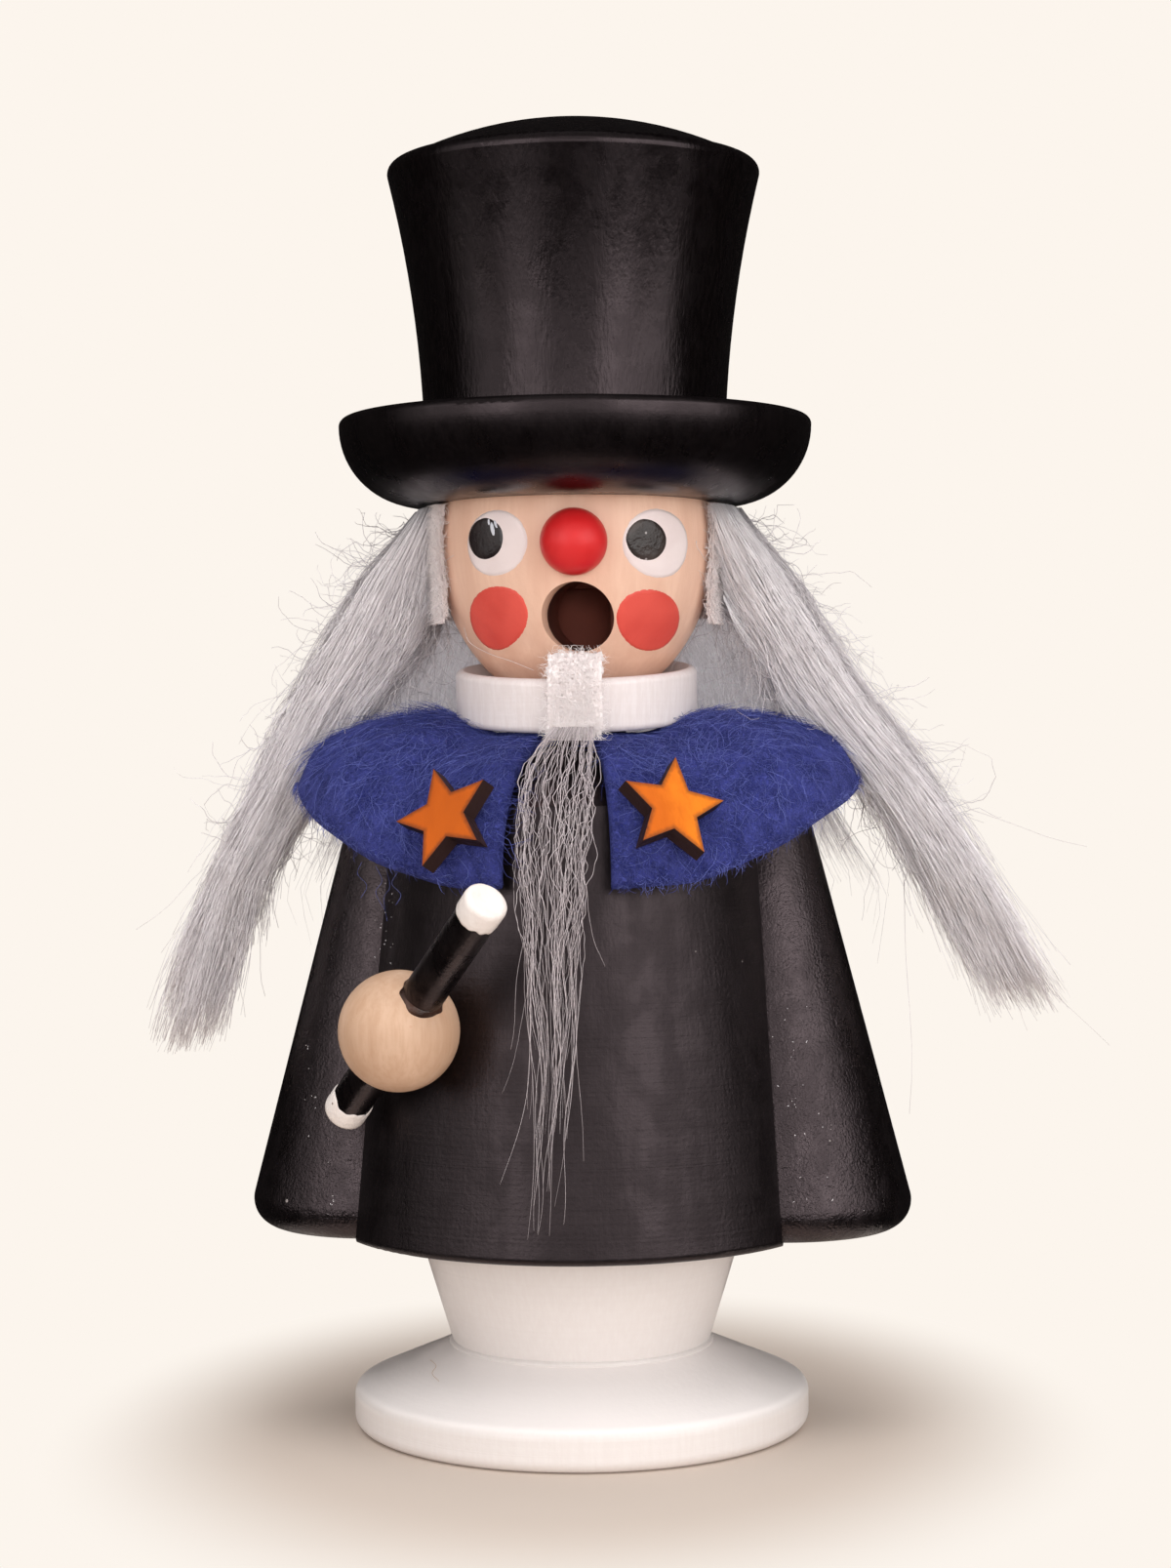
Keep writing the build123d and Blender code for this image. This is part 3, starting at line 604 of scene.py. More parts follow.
def wander(rng, heading, bend, steps, length):  # ways across and up of fibres that turn a little at each step
    heading = heading + np.cumsum(rng.normal(0, bend, (len(heading), steps)), axis=1)
    step = rng.uniform(*length, (len(heading), 1)) / steps
    return np.cumsum(np.cos(heading) * step, axis=1), np.cumsum(np.sin(heading) * step, axis=1)


def polar(turn, reach):  # 0 degrees is the front, to the viewer's right is positive
    return reach * np.sin(np.radians(turn)), -reach * np.cos(np.radians(turn))


# the turned surfaces that paint, cloth and loose fibres lie on
def surfaceOf(*names):
    points, faces = [], []
    for name in names:
        mesh = turned[name].data
        first = len(points)
        points += [v.co.copy() for v in mesh.vertices]
        faces += [[first + k for k in p.vertices] for p in mesh.polygons]
    return BVHTree.FromPolygons(points, faces)


headSurface = surfaceOf("head")
coatSurface = surfaceOf("coat_body", "left_sleeve", "right_sleeve")
footSurface = surfaceOf("foot_disc", "pedestal")


def headSpot(turn, height):
    x, y = polar(turn, 20.0)
    spot, normal, _, _ = headSurface.ray_cast(Vector((x, y, height)) * mm, Vector((-x, -y, 0)).normalized())
    return np.array(spot) / mm, np.array(normal)


def reachAt(turn, height):
    return np.hypot(*headSpot(turn, height)[0][:2])


def headReach(height):
    return np.array([reachAt(-70, z) for z in np.atleast_1d(height)])


# side tufts of crimped fur
brimHeight = 93.67
tuftLook = {
    "setBack": 2.2, "forward": 3.3, "rootReach": 14.6, "strands": 4900, "steps": 17, "thick": 0.040, "locks": 190,
    "gather": 0.4, "fan": 0.19, "strays": 420, "strayThick": 0.034, "frizz": 640, "frizzLength": (3.5, 11.0),
    "frizzFrom": 1.5, "frizzOver": 32, "curl": 0.26,
}
# levels: drop below the brim, inner reach, outer reach, depth
# flyaways: drop where one leaves, its end's reach and height
tufts = {
    "left": {"side": -1, "seed": 11, "ends": (22.0, 56.5), "levels": [
        (0.8, 12.6, 16.2, 7.0), (5.8, 13.2, 20.6, 7.4), (13.8, 15.9, 25.9, 7.4), (21.7, 22.3, 30.3, 7.0),
        (29.7, 27.9, 34.0, 6.0), (37.7, 33.0, 37.9, 5.0), (45.7, 35.6, 41.2, 4.2), (53.7, 38.4, 43.6, 3.0)],
        "flyaways": [(24, 46.9, 50.1), (27, 43.9, 47.8), (30, 44.2, 43.8), (31, 42.9, 40.0), (30, 33.4, 42.9),
                     (33, 35.6, 40.9), (16, 34.0, 60.5)]},
    "right": {"side": 1, "seed": 12, "ends": (20.0, 53.0), "levels": [
        (0.8, 12.6, 16.4, 7.0), (7.0, 13.8, 21.2, 7.4), (13.5, 17.4, 25.2, 7.4), (20.1, 21.0, 29.4, 7.0),
        (28.7, 29.0, 35.6, 6.0), (37.3, 34.8, 40.9, 5.2), (44.0, 38.4, 44.4, 4.2), (50.2, 41.6, 47.6, 3.0)],
        "flyaways": [(33, 53.8, 38.1), (22, 51.8, 58.5), (24, 33.4, 31.1), (30, 49.8, 42.8), (34, 46.0, 39.6),
                     (20, 41.5, 61.0), (12, 33.5, 71.0)]},
}


def tuftReach(tuft, drop, across):
    drops, inner, outer, _ = np.array(tuft["levels"]).T
    low, high = glide(drop, drops, inner), glide(drop, drops, outer)
    return low + across * (high - low)


def tuftDepth(tuft, drop):
    drops, _, _, depth = np.array(tuft["levels"]).T
    return glide(drop, drops, depth) / 2


def tuftBack(tuft, drop, deep):  # the front hairs start on the temple
    forward = tuft["forward"] * np.maximum(deep, 0) * softStep(drop, 24, 3)
    return tuft["setBack"] - deep * tuftDepth(tuft, drop) - forward


def underBrim(tuft, x, y, z):
    return np.stack([tuft["side"] * x, y, np.minimum(z, brimHeight - 0.35)], -1)


def tuftPaths(tuft, rng, count, loose):
    locks, (low, high) = tuft["locks"], tuft["ends"]
    across = rng.uniform(-0.1, 1.12, count) if loose else 0.04 + 0.92 * rng.random(count)
    deep = rng.uniform(-1, 1, count) * np.sqrt(np.clip(1.05 - (2 * across - 1) ** 2, 0.05, 1))
    grid = np.linspace(tuft["levels"][0][0], 24, 160)
    reach = np.hypot(tuftReach(tuft, grid, across[:, None]), tuftBack(tuft, grid, deep[:, None]))
    start = grid[np.argmax(reach > tuft["rootReach"], axis=1)] - 0.4
    lockAcross, lockDeep = rng.random(locks), rng.uniform(-0.8, 0.8, locks)
    near = np.argmin((across[:, None] - lockAcross) ** 2 + 0.3 * (deep[:, None] - lockDeep) ** 2, axis=1)
    end = low + (high - low) * rng.random(locks)[near] ** 0.8 - 2.5 * np.abs(rng.normal(size=count))
    if loose:
        end = rng.uniform(0.7 * low, high, count)
    t = np.linspace(0, 1, tuft["steps"])[None, :]
    drop = start[:, None] + (end - start)[:, None] * t
    pull, fan = tuft["gather"] * t**3, tuft["fan"] * t**2.2
    away = 0.7 * rng.normal(size=(2, locks))[:, near, None] + 0.9 * rng.normal(size=(2, count, 1))
    across = across[:, None] + (lockAcross[near] - across)[:, None] * pull + away[0] * fan
    deep = deep[:, None] + (lockDeep[near] - deep)[:, None] * pull + away[1] * fan
    length = end.mean()
    free = np.minimum(1, 3 * t) * (1.5 if loose else 1.0)
    x = tuftReach(tuft, drop, across) + free * waves(t, length, rng, count, (0.32, 16), (0.09, 4.5))
    y = tuftBack(tuft, drop, deep) + free * waves(t, length, rng, count, (0.4, 14), (0.10, 4.0))
    z = brimHeight - drop + free * waves(t, length, rng, count, (0.12, 6))
    return underBrim(tuft, x, y, z)


# short curled hairs that stand off the tuft's two edges
def frizzPaths(tuft, rng):
    count, steps = tuft["frizz"], tuft["steps"]
    drop = tuft["frizzFrom"] + tuft["frizzOver"] * rng.random(count) ** 1.7
    outside = rng.random(count) < 0.4
    across = np.where(outside, rng.uniform(0.78, 1.0, count), rng.uniform(-0.15, 0.2, count))
    x = tuftReach(tuft, drop, across)
    y = tuft["setBack"] + rng.uniform(-0.8, 0.8, count) * tuftDepth(tuft, drop)
    path = [np.stack([x, y, brimHeight - drop], -1)]
    fall = np.stack([tuftReach(tuft, drop + 2, across) - x, np.zeros(count), np.full(count, -2.0)], -1)
    way = unit(fall) + rng.normal(0, 0.35, (count, 3))
    way[:, 0] += np.where(outside, 0.22, -0.3)
    stride = rng.uniform(*tuft["frizzLength"], (count, 1)) / steps
    for step in range(steps - 1):
        way = unit(way) + rng.normal(0, tuft["curl"], (count, 3))
        path.append(path[-1] + stride * way)
    x, y, z = np.stack(path, 1).transpose(2, 0, 1)
    heights = np.linspace(77, brimHeight, 40)
    clear = np.interp(z, heights, headReach(heights) + 0.35)  # stays off the head and the ring
    push = np.maximum(1, clear / np.hypot(x, y))
    return underBrim(tuft, x * push, y * push, z)


def flyawayPaths(tuft, rng):
    sway = np.linspace(0, 1, tuft["steps"])[None, :]
    t, lower = sway[..., None], 9
    drop, endReach, endHeight = np.array(tuft["flyaways"], float).T
    across = rng.uniform(0.3, 0.7, len(drop))
    back = tuft["setBack"] + rng.uniform(-1, 1, len(drop))
    root = np.stack([tuftReach(tuft, drop, across), back, brimHeight - drop], -1)
    bend = np.stack([tuftReach(tuft, drop + lower, across), back, brimHeight - drop - lower], -1)
    end = np.stack([endReach, back + rng.uniform(-3, 3, len(drop)), endHeight], -1)
    path = (1 - t) ** 2 * root[:, None] + 2 * t * (1 - t) * bend[:, None] + t**2 * end[:, None]
    x, y, z = path.transpose(2, 0, 1)
    x = x + np.minimum(1, 4 * sway) * waves(sway, 25, rng, len(drop), (0.35, 12))
    return underBrim(tuft, x, y, z)


def buildTuft(name, tuft):
    rng = np.random.default_rng(tuft["seed"])
    steps, full = tuft["steps"], tuft["strands"]
    paths = np.concatenate([tuftPaths(tuft, rng, full, False), tuftPaths(tuft, rng, tuft["strays"], True),
                            frizzPaths(tuft, rng), flyawayPaths(tuft, rng)])
    radius = np.concatenate([taper(full, steps, tuft["thick"], rng, 0.55),
                             taper(len(paths) - full, steps, tuft["strayThick"], rng, 0.6)])
    tone = rng.random(len(paths))
    tone = np.where(np.arange(len(paths)) < full, 0.78 + 0.22 * tone, 0.2 + 0.4 * tone)  # painted shade: loose single hairs get a darker tone, for the shade they show against the pale backdrop
    addStrands(name + "Tuft", paths, radius, tone, rng, "tuftHair", "fur_hair", name + "_hair")


for name, tuft in tufts.items():
    buildTuft(name, {**tuftLook, **tuft})
print("side tufts combed")


# fur falling behind the head
fall = {
    "halfTurn": 99.0, "tipShare": 0.72, "long": 60, "count": 5600, "steps": 13, "thick": 0.042, "seed": 21,
    "startReach": 15.3, "layers": 2.2, "roots": (83.6, 92.6), "tips": (53.7, 66.0),
    "line": [(53.7, 32.5), (63.6, 25.2), (74.9, 20.15), (82.6, 16.9), (89.3, 15.55), (93.6, 15.3)],
}


def buildBackHair(halfTurn, tipShare, long, count, steps, thick, seed, startReach, layers, roots, tips, line):
    rng = np.random.default_rng(seed)
    t, total = np.linspace(0, 1, steps)[None, :], 36
    root = rng.uniform(*roots, count)[:, None]
    tip = tips[0] + (tips[1] - tips[0]) * rng.random((count, 1)) ** 0.6
    tip[:long] -= rng.uniform(6, 14, (long, 1))
    z = root + (tip - root) * t
    layer = rng.random((count, 1)) * layers
    out = np.minimum(1, (root - z) / 7) ** 0.8
    reach = startReach + out * (glide(z, *zip(*line)) + layer * (1 - 0.45 * t) - startReach)
    crimp = np.minimum(1, 4 * t)
    reach = reach + crimp * waves(t, total, rng, count, (0.22, 3.2))
    spread = halfTurn * (1 - (1 - tipShare) * t)
    sway = crimp * waves(t, total, rng, count, (0.5, 17), (0.18, 3.0))
    turn = 180 + rng.uniform(-1, 1, (count, 1)) * spread + np.degrees(sway / reach)
    paths = np.stack([*polar(turn, reach), z], -1)
    radius = taper(count, steps, thick, rng)
    addStrands("backFall", paths, radius, rng.random(count), rng, "backHair", "fur_hair", "back_hair")


buildBackHair(**fall)
print("back hair combed")


# beard: a few dozen hairs from the tab over the cape's slit and down the coat
# line: share of the way, x, y, z; strays: share where a hair leaves, share where it stops, how far aside
beard = {
    "count": 76, "steps": 90, "thick": 0.029, "seed": 31,
    "line": [(0.0, 1.05, -14.1, 71.0), (0.06, 0.6, -16.8, 69.0), (0.13, 0.1, -19.7, 65.8), (0.24, -0.1, -21.6, 60.9),
             (0.42, -0.3, -22.8, 52.2), (0.70, -0.1, -24.2, 38.6), (1.0, -1.1, -26.1, 22.8)],
    "spread": [(0.0, 2.0), (0.10, 3.3), (0.24, 3.3), (0.45, 2.4), (0.7, 1.5), (1.0, 1.1)],
    "strays": [(0.45, 0.74, -6.1), (0.5, 0.9, -5.4), (0.3, 0.66, -5.0), (0.25, 0.5, 5.2), (0.3, 0.86, 3.6)],
}


def buildBeard(count, steps, thick, seed, line, spread, strays):
    rng = np.random.default_rng(seed)
    t, total = np.linspace(0, 1, steps)[None, :], 55
    end = 0.5 + 0.5 * rng.random((count, 1)) ** 1.2
    place = rng.uniform(-1, 1, (count, 1))
    drift = rng.normal(0, 0.55, (count, 1)) * t * end
    aside = np.zeros((count, steps))
    for k, (leave, stop, reach) in enumerate(strays):  # a few hairs leave the rest
        end[k], drift[k], place[k] = stop, 0, np.sign(reach) * 0.8
        aside[k] = reach * np.clip((t[0] * stop - leave) / (stop - leave), 0, 1) ** 1.5
    s = t * end
    stops, xs, ys, zs = zip(*line)
    crimp = np.exp(-((s - 0.15) / 0.34) ** 2) * np.minimum(1, 12 * s) * rng.uniform(0.1, 1.4, (count, 1))
    x = glide(s, stops, xs) + (place + drift) * glide(s, *zip(*spread)) + 0.6 * aside
    x = x + crimp * waves(s, total, rng, count, (0.14, 2.7), (0.38, 9.5))
    x = x + np.minimum(1, 3 * s) * waves(t, total, rng, count, (0.35, 22))
    y = glide(s, stops, ys) + rng.uniform(-0.55, 0.55, (count, 1)) * np.minimum(1, 5 * s)
    y = y + crimp * waves(s, total, rng, count, (0.2, 3.0))
    z = glide(s, stops, zs) + crimp * waves(t, total, rng, count, (0.15, 2.6))
    radius = taper(count, steps, thick, rng, 0.4)
    addStrands("beardStrands", np.stack([x, y, z], -1), radius, rng.random(count), rng, "beardHair", "fur_hair",
               "beard_hair", 4)


buildBeard(**beard)
print("beard combed")


# felt cape, draped from the coat's seat to its bent down edge, humped over each sleeve
# hump: share of the way out, how far it lifts the felt, how far it pushes it out
cape = {
    "thick": 1.4, "hole": 5.5, "seat": 8.8, "seatHeight": 69.0, "runs": 24, "edgeReach": (20.9, 6.6),
    "edgeDrop": (13.2, 8.0), "bulge": (4.1, 1.7), "edgeTilt": (10.0, 55.0), "humpTurns": (40.0, 66.0, 88.0, 116.0),
    "hump": [(0.0, 0.0, 0.0), (0.2, 1.5, 0.0), (0.42, 2.0, 0.0), (0.7, 2.5, 0.3), (0.88, 2.3, 0.8), (1.0, 0.4, 0.6)],
}


def arcPoints(a, b, c, count):  # points on the circle through three points
    a, b, c = (complex(*p) for p in (a, b, c))
    w = (c - a) / (b - a)
    centre = a + (b - a) * (w - abs(w) ** 2) / (2j * w.imag)
    first, last = np.angle(a - centre), np.angle(c - centre)
    last = first + (last - first + np.pi) % (2 * np.pi) - np.pi
    points = centre + abs(a - centre) * np.exp(1j * np.linspace(first, last, count))
    return np.stack([points.real, points.imag], -1)


def capeSection(turn, thick, hole, seat, seatHeight, runs, edgeReach, edgeDrop, bulge, edgeTilt, humpTurns, hump):
    side = abs(math.sin(math.radians(turn)))
    root = np.array([seat, seatHeight])
    tip = np.array([edgeReach[0] + edgeReach[1] * side**3, seatHeight - edgeDrop[0] + edgeDrop[1] * side**5])
    chord = tip - root
    normal = np.array([-chord[1], chord[0]]) / np.hypot(*chord)
    middle = root + chord / 2 + normal * (bulge[0] - bulge[1] * side**2)
    tilt = math.radians(edgeTilt[0] + edgeTilt[1] * side**2)
    edge = tip + thick * np.array([math.cos(tilt), math.sin(tilt)])
    rise, full, ebb, gone = humpTurns
    fromFront = min(turn, 360 - turn)
    humped = softStep(fromFront, rise, full) * (1 - softStep(fromFront, ebb, gone))
    at, up, out = zip(*hump)
    along = np.linspace(0, 1, runs)
    lift = humped * np.stack([glide(along, at, out), glide(along, at, up)], -1)
    under = arcPoints(root, middle, tip, runs) + lift
    upper = arcPoints(root + (0, thick), middle + normal * thick, edge, runs) + lift
    lip = (under[-1] + upper[-1]) / 2 + 0.35 * (upper[-1] - upper[-4]) / np.hypot(*(upper[-1] - upper[-4]))
    brink = [(hole, seatHeight + thick * share) for share in (0.15, 0.85)]
    return np.concatenate([[brink[1]], upper, [lip], under[::-1], [brink[0]]])


def buildCape(slit, turns, ripples):
    rows = [(turn, capeSection(turn, **cape)) for turn in np.linspace(slit, 360 - slit, turns)]
    pinched = []
    for (turn, row), aside in ((rows[0], -0.5), (rows[-1], 0.5)):  # narrower rows that round the slit's two edges
        pinched.append((turn + aside, (row + row[::-1]) / 2 + 0.45 * (row - row[::-1]) / 2))
    points = []
    for turn, row in [pinched[0]] + rows + [pinched[1]]:
        ripple = sum(size * math.sin(math.radians(count * turn) + start) for size, count, start in ripples)
        grow = np.clip((row[:, 0] - 12) / 12, 0, 1)
        x, y = polar(turn, row[:, 0] + 0.5 * ripple * grow)
        points.append(np.stack([x, y, row[:, 1] + ripple * grow], -1))
    points = np.array(points)
    index, quads = gridFaces(*points.shape[:2])
    mesh = meshFrom("feltCape", points.reshape(-1, 3), [quads, index[:1], index[-1:, ::-1]])
    return addPiece("feltCape", mesh, "capeFelt", "felt_collar"), points


# ripples: size, how many round the cape, where they start
feltCape, capePoints = buildCape(slit=14.5, turns=168, ripples=[(0.16, 7, 1.1), (0.12, 17, 0.4)])

fuzz = {"seed": 42, "steps": 9, "thick": 0.019, "fibres": 6800, "length": (1.4, 6.0), "edgeFibres": 1700,
        "edgeLength": (0.5, 1.7)}


def buildFeltFuzz(seed, steps, thick, fibres, length, edgeFibres, edgeLength):
    rng = np.random.default_rng(seed)
    upper = capePoints[1:-1, 2:cape["runs"] + 1]
    rows, runs = upper.shape[:2]

    def lay(count, j, lift, length):
        i = rng.integers(1, rows - 1, count)
        around = unit(upper[i + 1, j] - upper[i - 1, j])
        down = unit(upper[i, np.minimum(j + 1, runs - 1)] - upper[i, j - 1])
        out = np.cross(around, down)
        out *= np.sign(out[:, 2:3] + 1e-6)
        here = upper[i, j] + around * rng.uniform(-0.5, 0.5, (count, 1)) + down * rng.uniform(-0.4, 0.4, (count, 1))
        combed = 0.7 + 1.1 * np.sin(0.11 * i + 0.3 * j) + rng.normal(0, 0.6, count)  # one way, with swirls
        u, v = wander(rng, combed[:, None], 0.32, steps, length)
        rise = lift * np.sin(np.pi * np.linspace(0.05, 0.95, steps)) * rng.uniform(0.2, 1.6, (count, 1))
        moves = ((u, around), (v, down), (rise, out))
        return sum((far[..., None] * way[:, None] for far, way in moves), here[:, None])

    paths = np.concatenate([lay(fibres, rng.integers(1, runs - 3, fibres), 0.12, length),
                            lay(edgeFibres, np.full(edgeFibres, runs - 1), 0.25, edgeLength)])
    radius = taper(len(paths), steps, thick, rng)
    return addStrands("capeFuzz", paths, radius, rng.random(len(paths)) ** 1.5, rng, "feltFibres", "blue_felt")


capeFuzz = buildFeltFuzz(**fuzz)
print("felt cape draped")


# wig band, a strip of backing cloth round the back of the head
band = {"inner": 14.25, "outer": 15.1, "top": 93.3, "height": 11.1, "middle": 186.5, "halfTurn": 108.0, "hangs": 85.5,
        "turns": 150, "levels": 24, "seed": 51}


def bandReach(hoop, close, aside):  # a standing hoop behind, lying close on the head at the temples
    return hoop + (close - hoop) * softStep(np.abs(aside), 66, 90)


def buildBand(inner, outer, top, height, middle, halfTurn, hangs, turns, levels, seed):
    rng = np.random.default_rng(seed)
    across, level = np.linspace(-1, 1, turns), np.arange(levels)
    rows = top - height * np.linspace(0, 1, levels)
    ragged = 1 + 0.004 * np.sin(level * 0.9) + rng.normal(0, 0.002, levels)
    sheets = []
    for share in (1, 0):
        grid = []
        for k, z in enumerate(rows):
            aside = across * halfTurn * ragged[k]
            reach = bandReach(inner + share * (outer - inner), headReach(max(z, hangs)) + 0.12 + 0.5 * share, aside)
            x, y = polar(middle + aside, reach + share * 0.06 * np.sin(across * 23 + k))
            grid.append(np.stack([x, y, np.full(turns, z)], -1))
        sheets.append(np.array(grid))
    loop = np.concatenate([sheets[0], sheets[1][::-1]])
    index = np.arange(2 * levels * turns).reshape(2 * levels, turns)
    below = np.roll(index, -1, axis=0)
    quads = np.stack([index[:, :-1], below[:, :-1], below[:, 1:], index[:, 1:]], -1).reshape(-1, 4)
    sides = []
    for column, flip in ((0, 1), (-1, -1)):
        front, back = index[:levels, column], index[levels:, column][::-1]
        sides.append(np.stack([front[:-1], back[:-1], back[1:], front[1:]], -1)[:, ::flip])
    mesh = meshFrom("wigBand", loop.reshape(-1, 3), [quads, *sides])
    return addPiece("wigBand", mesh, "bandCloth", "wig_band")


wigBand = buildBand(**band)

fringe = {"count": 6400, "steps": 8, "thick": 0.027, "length": (0.8, 2.6), "seed": 52, "deep": 24.0,
          "shorter": (-0.4, -0.2)}


# short white fluff on the band's two front edges, lying every way
def buildFringe(count, steps, thick, length, seed, deep, shorter):
    rng = np.random.default_rng(seed)
    top = band["top"]
    side = np.where(rng.random((count, 1)) < 0.5, -1, 1)
    edge = band["halfTurn"] + 1.5 - deep * rng.random((count, 1)) ** 2.4
    ahead, up = wander(rng, rng.uniform(0, 2 * np.pi, (count, 1)), 0.5, steps, length)
    aside = edge + np.degrees(ahead / band["outer"])
    lift = np.linspace(0, 1, steps)[None, :] * rng.uniform(-0.4, 1.1, (count, 1))
    low = top - band["height"] + np.where(side < 0, *shorter)
    root = low + rng.random((count, 1)) * (top - low)
    z = np.clip(root + up, low - 0.5, top + 0.1)
    heights = np.linspace(76, top + 0.1, 60)
    close = np.interp(np.maximum(z, band["hangs"]), heights, headReach(heights)) + 0.62
    x, y = polar(band["middle"] + side * aside, bandReach(band["outer"], close, aside) + 0.02 + lift)
    radius, tone = taper(count, steps, thick, rng), 0.3 + 0.7 * rng.random(count)
    return addStrands("bandFringe", np.stack([x, y, z], -1), radius, tone, rng, "clothThread", "fur_backing")


bandFringe = buildFringe(**fringe)
print("wig band sewn")


# beard tab, woven from real threads
tab = {"width": 4.9, "low": 70.3, "bend": 75.7, "top": 78.5, "front": 13.45, "chin": 12.1}
weave = {"warps": 13, "wefts": 19, "thread": 0.215, "seed": 61, "steps": 26, "depth": 0.15}


def tabSpot(across, height):
    fold = np.clip((height - tab["bend"]) / (tab["top"] - tab["bend"]), 0, 1)
    reach = tab["front"] - (tab["front"] - tab["chin"]) * fold**1.4
    cos, sin = np.cos(np.radians(faceTurn)), np.sin(np.radians(faceTurn))
    return np.stack([across * cos + reach * sin, across * sin - reach * cos, height], -1)


def buildTab(warps, wefts, thread, seed, steps, depth):
    rng = np.random.default_rng(seed)
    t, width, low = np.linspace(0, 1, steps), tab["width"], tab["low"]
    paths = []
    for k in range(warps + wefts):
        if k < warps:
            across = (k / (warps - 1) - 0.5) * width + 0.06 * np.sin(9 * t + k) + rng.normal(0, 0.04)
            height = low + (tab["top"] - abs(rng.normal(0, 0.35)) - low) * t
            phase = t * (wefts - 1) + k
        else:
            k -= warps
            height = low + 0.2 + (tab["top"] - low - 0.7) * k / (wefts - 1) + 0.05 * np.sin(11 * t + 2 * k)
            across = (t - 0.5) * (width + rng.uniform(0.1, 0.5)) + rng.normal(0, 0.05)
            phase = (across / width + 0.5) * (warps - 1) + k + 1
        spot = tabSpot(across, height)
        spot[:, 1] -= depth * np.cos(np.pi * phase)
        paths.append(spot)
    radius = thread * (1 + 0.18 * np.sin(rng.uniform(0, 6, (len(paths), 1)) + 14 * t[None, :]))
    tone = 0.7 + 0.3 * rng.random(len(paths))
    addStrands("tabWeave", np.array(paths), radius, tone, rng, "clothThread", "fur_backing", "beard_tab", 6)


buildTab(**weave)

tabFluff = {"count": 2600, "steps": 9, "thick": 0.022, "seed": 62, "length": (0.72, 1.98)}


def buildTabFluff(count, steps, thick, seed, length):
    rng = np.random.default_rng(seed)
    low, top = tab["low"], tab["top"]
    height = low + (top - low) * rng.random((count, 1)) ** 2.2
    across = rng.uniform(-0.47, 0.47, (count, 1)) * tab["width"]
    u, v = wander(rng, rng.uniform(0, 2 * np.pi, (count, 1)), 0.5, steps, length)
    paths = tabSpot(across + u, np.clip(height + v, low - 0.6, top + 0.5))
    paths[..., 1] -= rng.uniform(0.2, 0.55, (count, 1))
    radius, tone = taper(count, steps, thick, rng), 0.5 + 0.5 * rng.random(count)
    addStrands("tabFluff", paths, radius, tone, rng, "clothThread", "fur_backing")


buildTabFluff(**tabFluff)
print("beard tab woven")


# painted face: thin dabs laid on the head's own surface, three of them a painted highlight on the left pupil
# turn and half width in degrees, height, how tall, lift, paint, seed, lean in degrees, slant in degrees a mm
dabs = {
    "leftEye": (-29.5, 15.7, 89.15, 6.65, 0.07, "eyeWhite", 1, 0, 0.13),
    "rightEye": (41.7, 17.4, 89.0, 6.95, 0.07, "eyeWhite", 2, 0, -0.08),
    "leftPupil": (-34.1, 9.9, 89.6, 4.35, 0.14, "pupilPaint", 3, 0, 0.13),
    "rightPupil": (35.75, 10.0, 89.3, 4.35, 0.14, "greyPupil", 4, 0, -0.08),
    "leftPupilGloss": (-29.9, 1.0, 90.5, 1.5, 0.20, "glossPaint", 5, 14, 0.0),
    "leftPupilStreak": (-28.4, 0.55, 90.95, 0.9, 0.20, "glossPaint", 8, 24, 0.0),
    "leftPupilSpark": (-31.8, 0.5, 91.2, 0.7, 0.20, "glossPaint", 9, 8, 0.0),
    "leftCheek": (-34.9, 18.8, 81.85, 6.4, 0.05, "cheekPaint", 6, 0, 1.92),
    "rightCheek": (43.3, 19.8, 81.5, 6.25, 0.05, "cheekPaint", 7, 0, -1.76),
}


def buildDab(name, turn, half, height, tall, lift, paint, seed, lean, slant, rings=8, spokes=60):
    uneven, edgeSunk, below = 0.018, 0.012, 0.12
    rng = np.random.default_rng(seed)
    angles = 2 * np.pi * np.arange(spokes) / spokes
    edge = np.ones(spokes)
    for k in range(2, 9):
        edge += rng.normal(0, uneven / k) * np.cos(k * angles + rng.uniform(0, 6.28))
    cos, sin = math.cos(math.radians(lean)), math.sin(math.radians(lean))
    wide = math.radians(half) * reachAt(turn, height)
    top, bottom = [], []
    for share in np.arange(rings + 1) / rings:
        for reach, angle in zip(edge, angles):
            across = wide * share * reach * math.cos(angle)
            rise = tall / 2 * share * reach * math.sin(angle)
            across, rise = across * cos - rise * sin, across * sin + rise * cos
            around = math.degrees(across / reachAt(turn, height + rise))
            spot, normal = headSpot(turn + around + slant * rise, height + rise)
            top.append(spot + normal * (lift * (1 - share**12) - edgeSunk))
            bottom.append(spot - normal * below)
    index, upper = gridFaces(rings + 1, spokes)
    rim, beside, under = index[-1], np.roll(index[-1], -1), len(top)
    skirt = np.stack([rim, rim + under, beside + under, beside], -1)
    mesh = meshFrom(name, np.array(top + bottom), [upper, upper[:, ::-1] + under, skirt])
    addPiece(name, mesh, paint)


for name, dab in dabs.items():
    buildDab(name, *dab)
print("face painted")


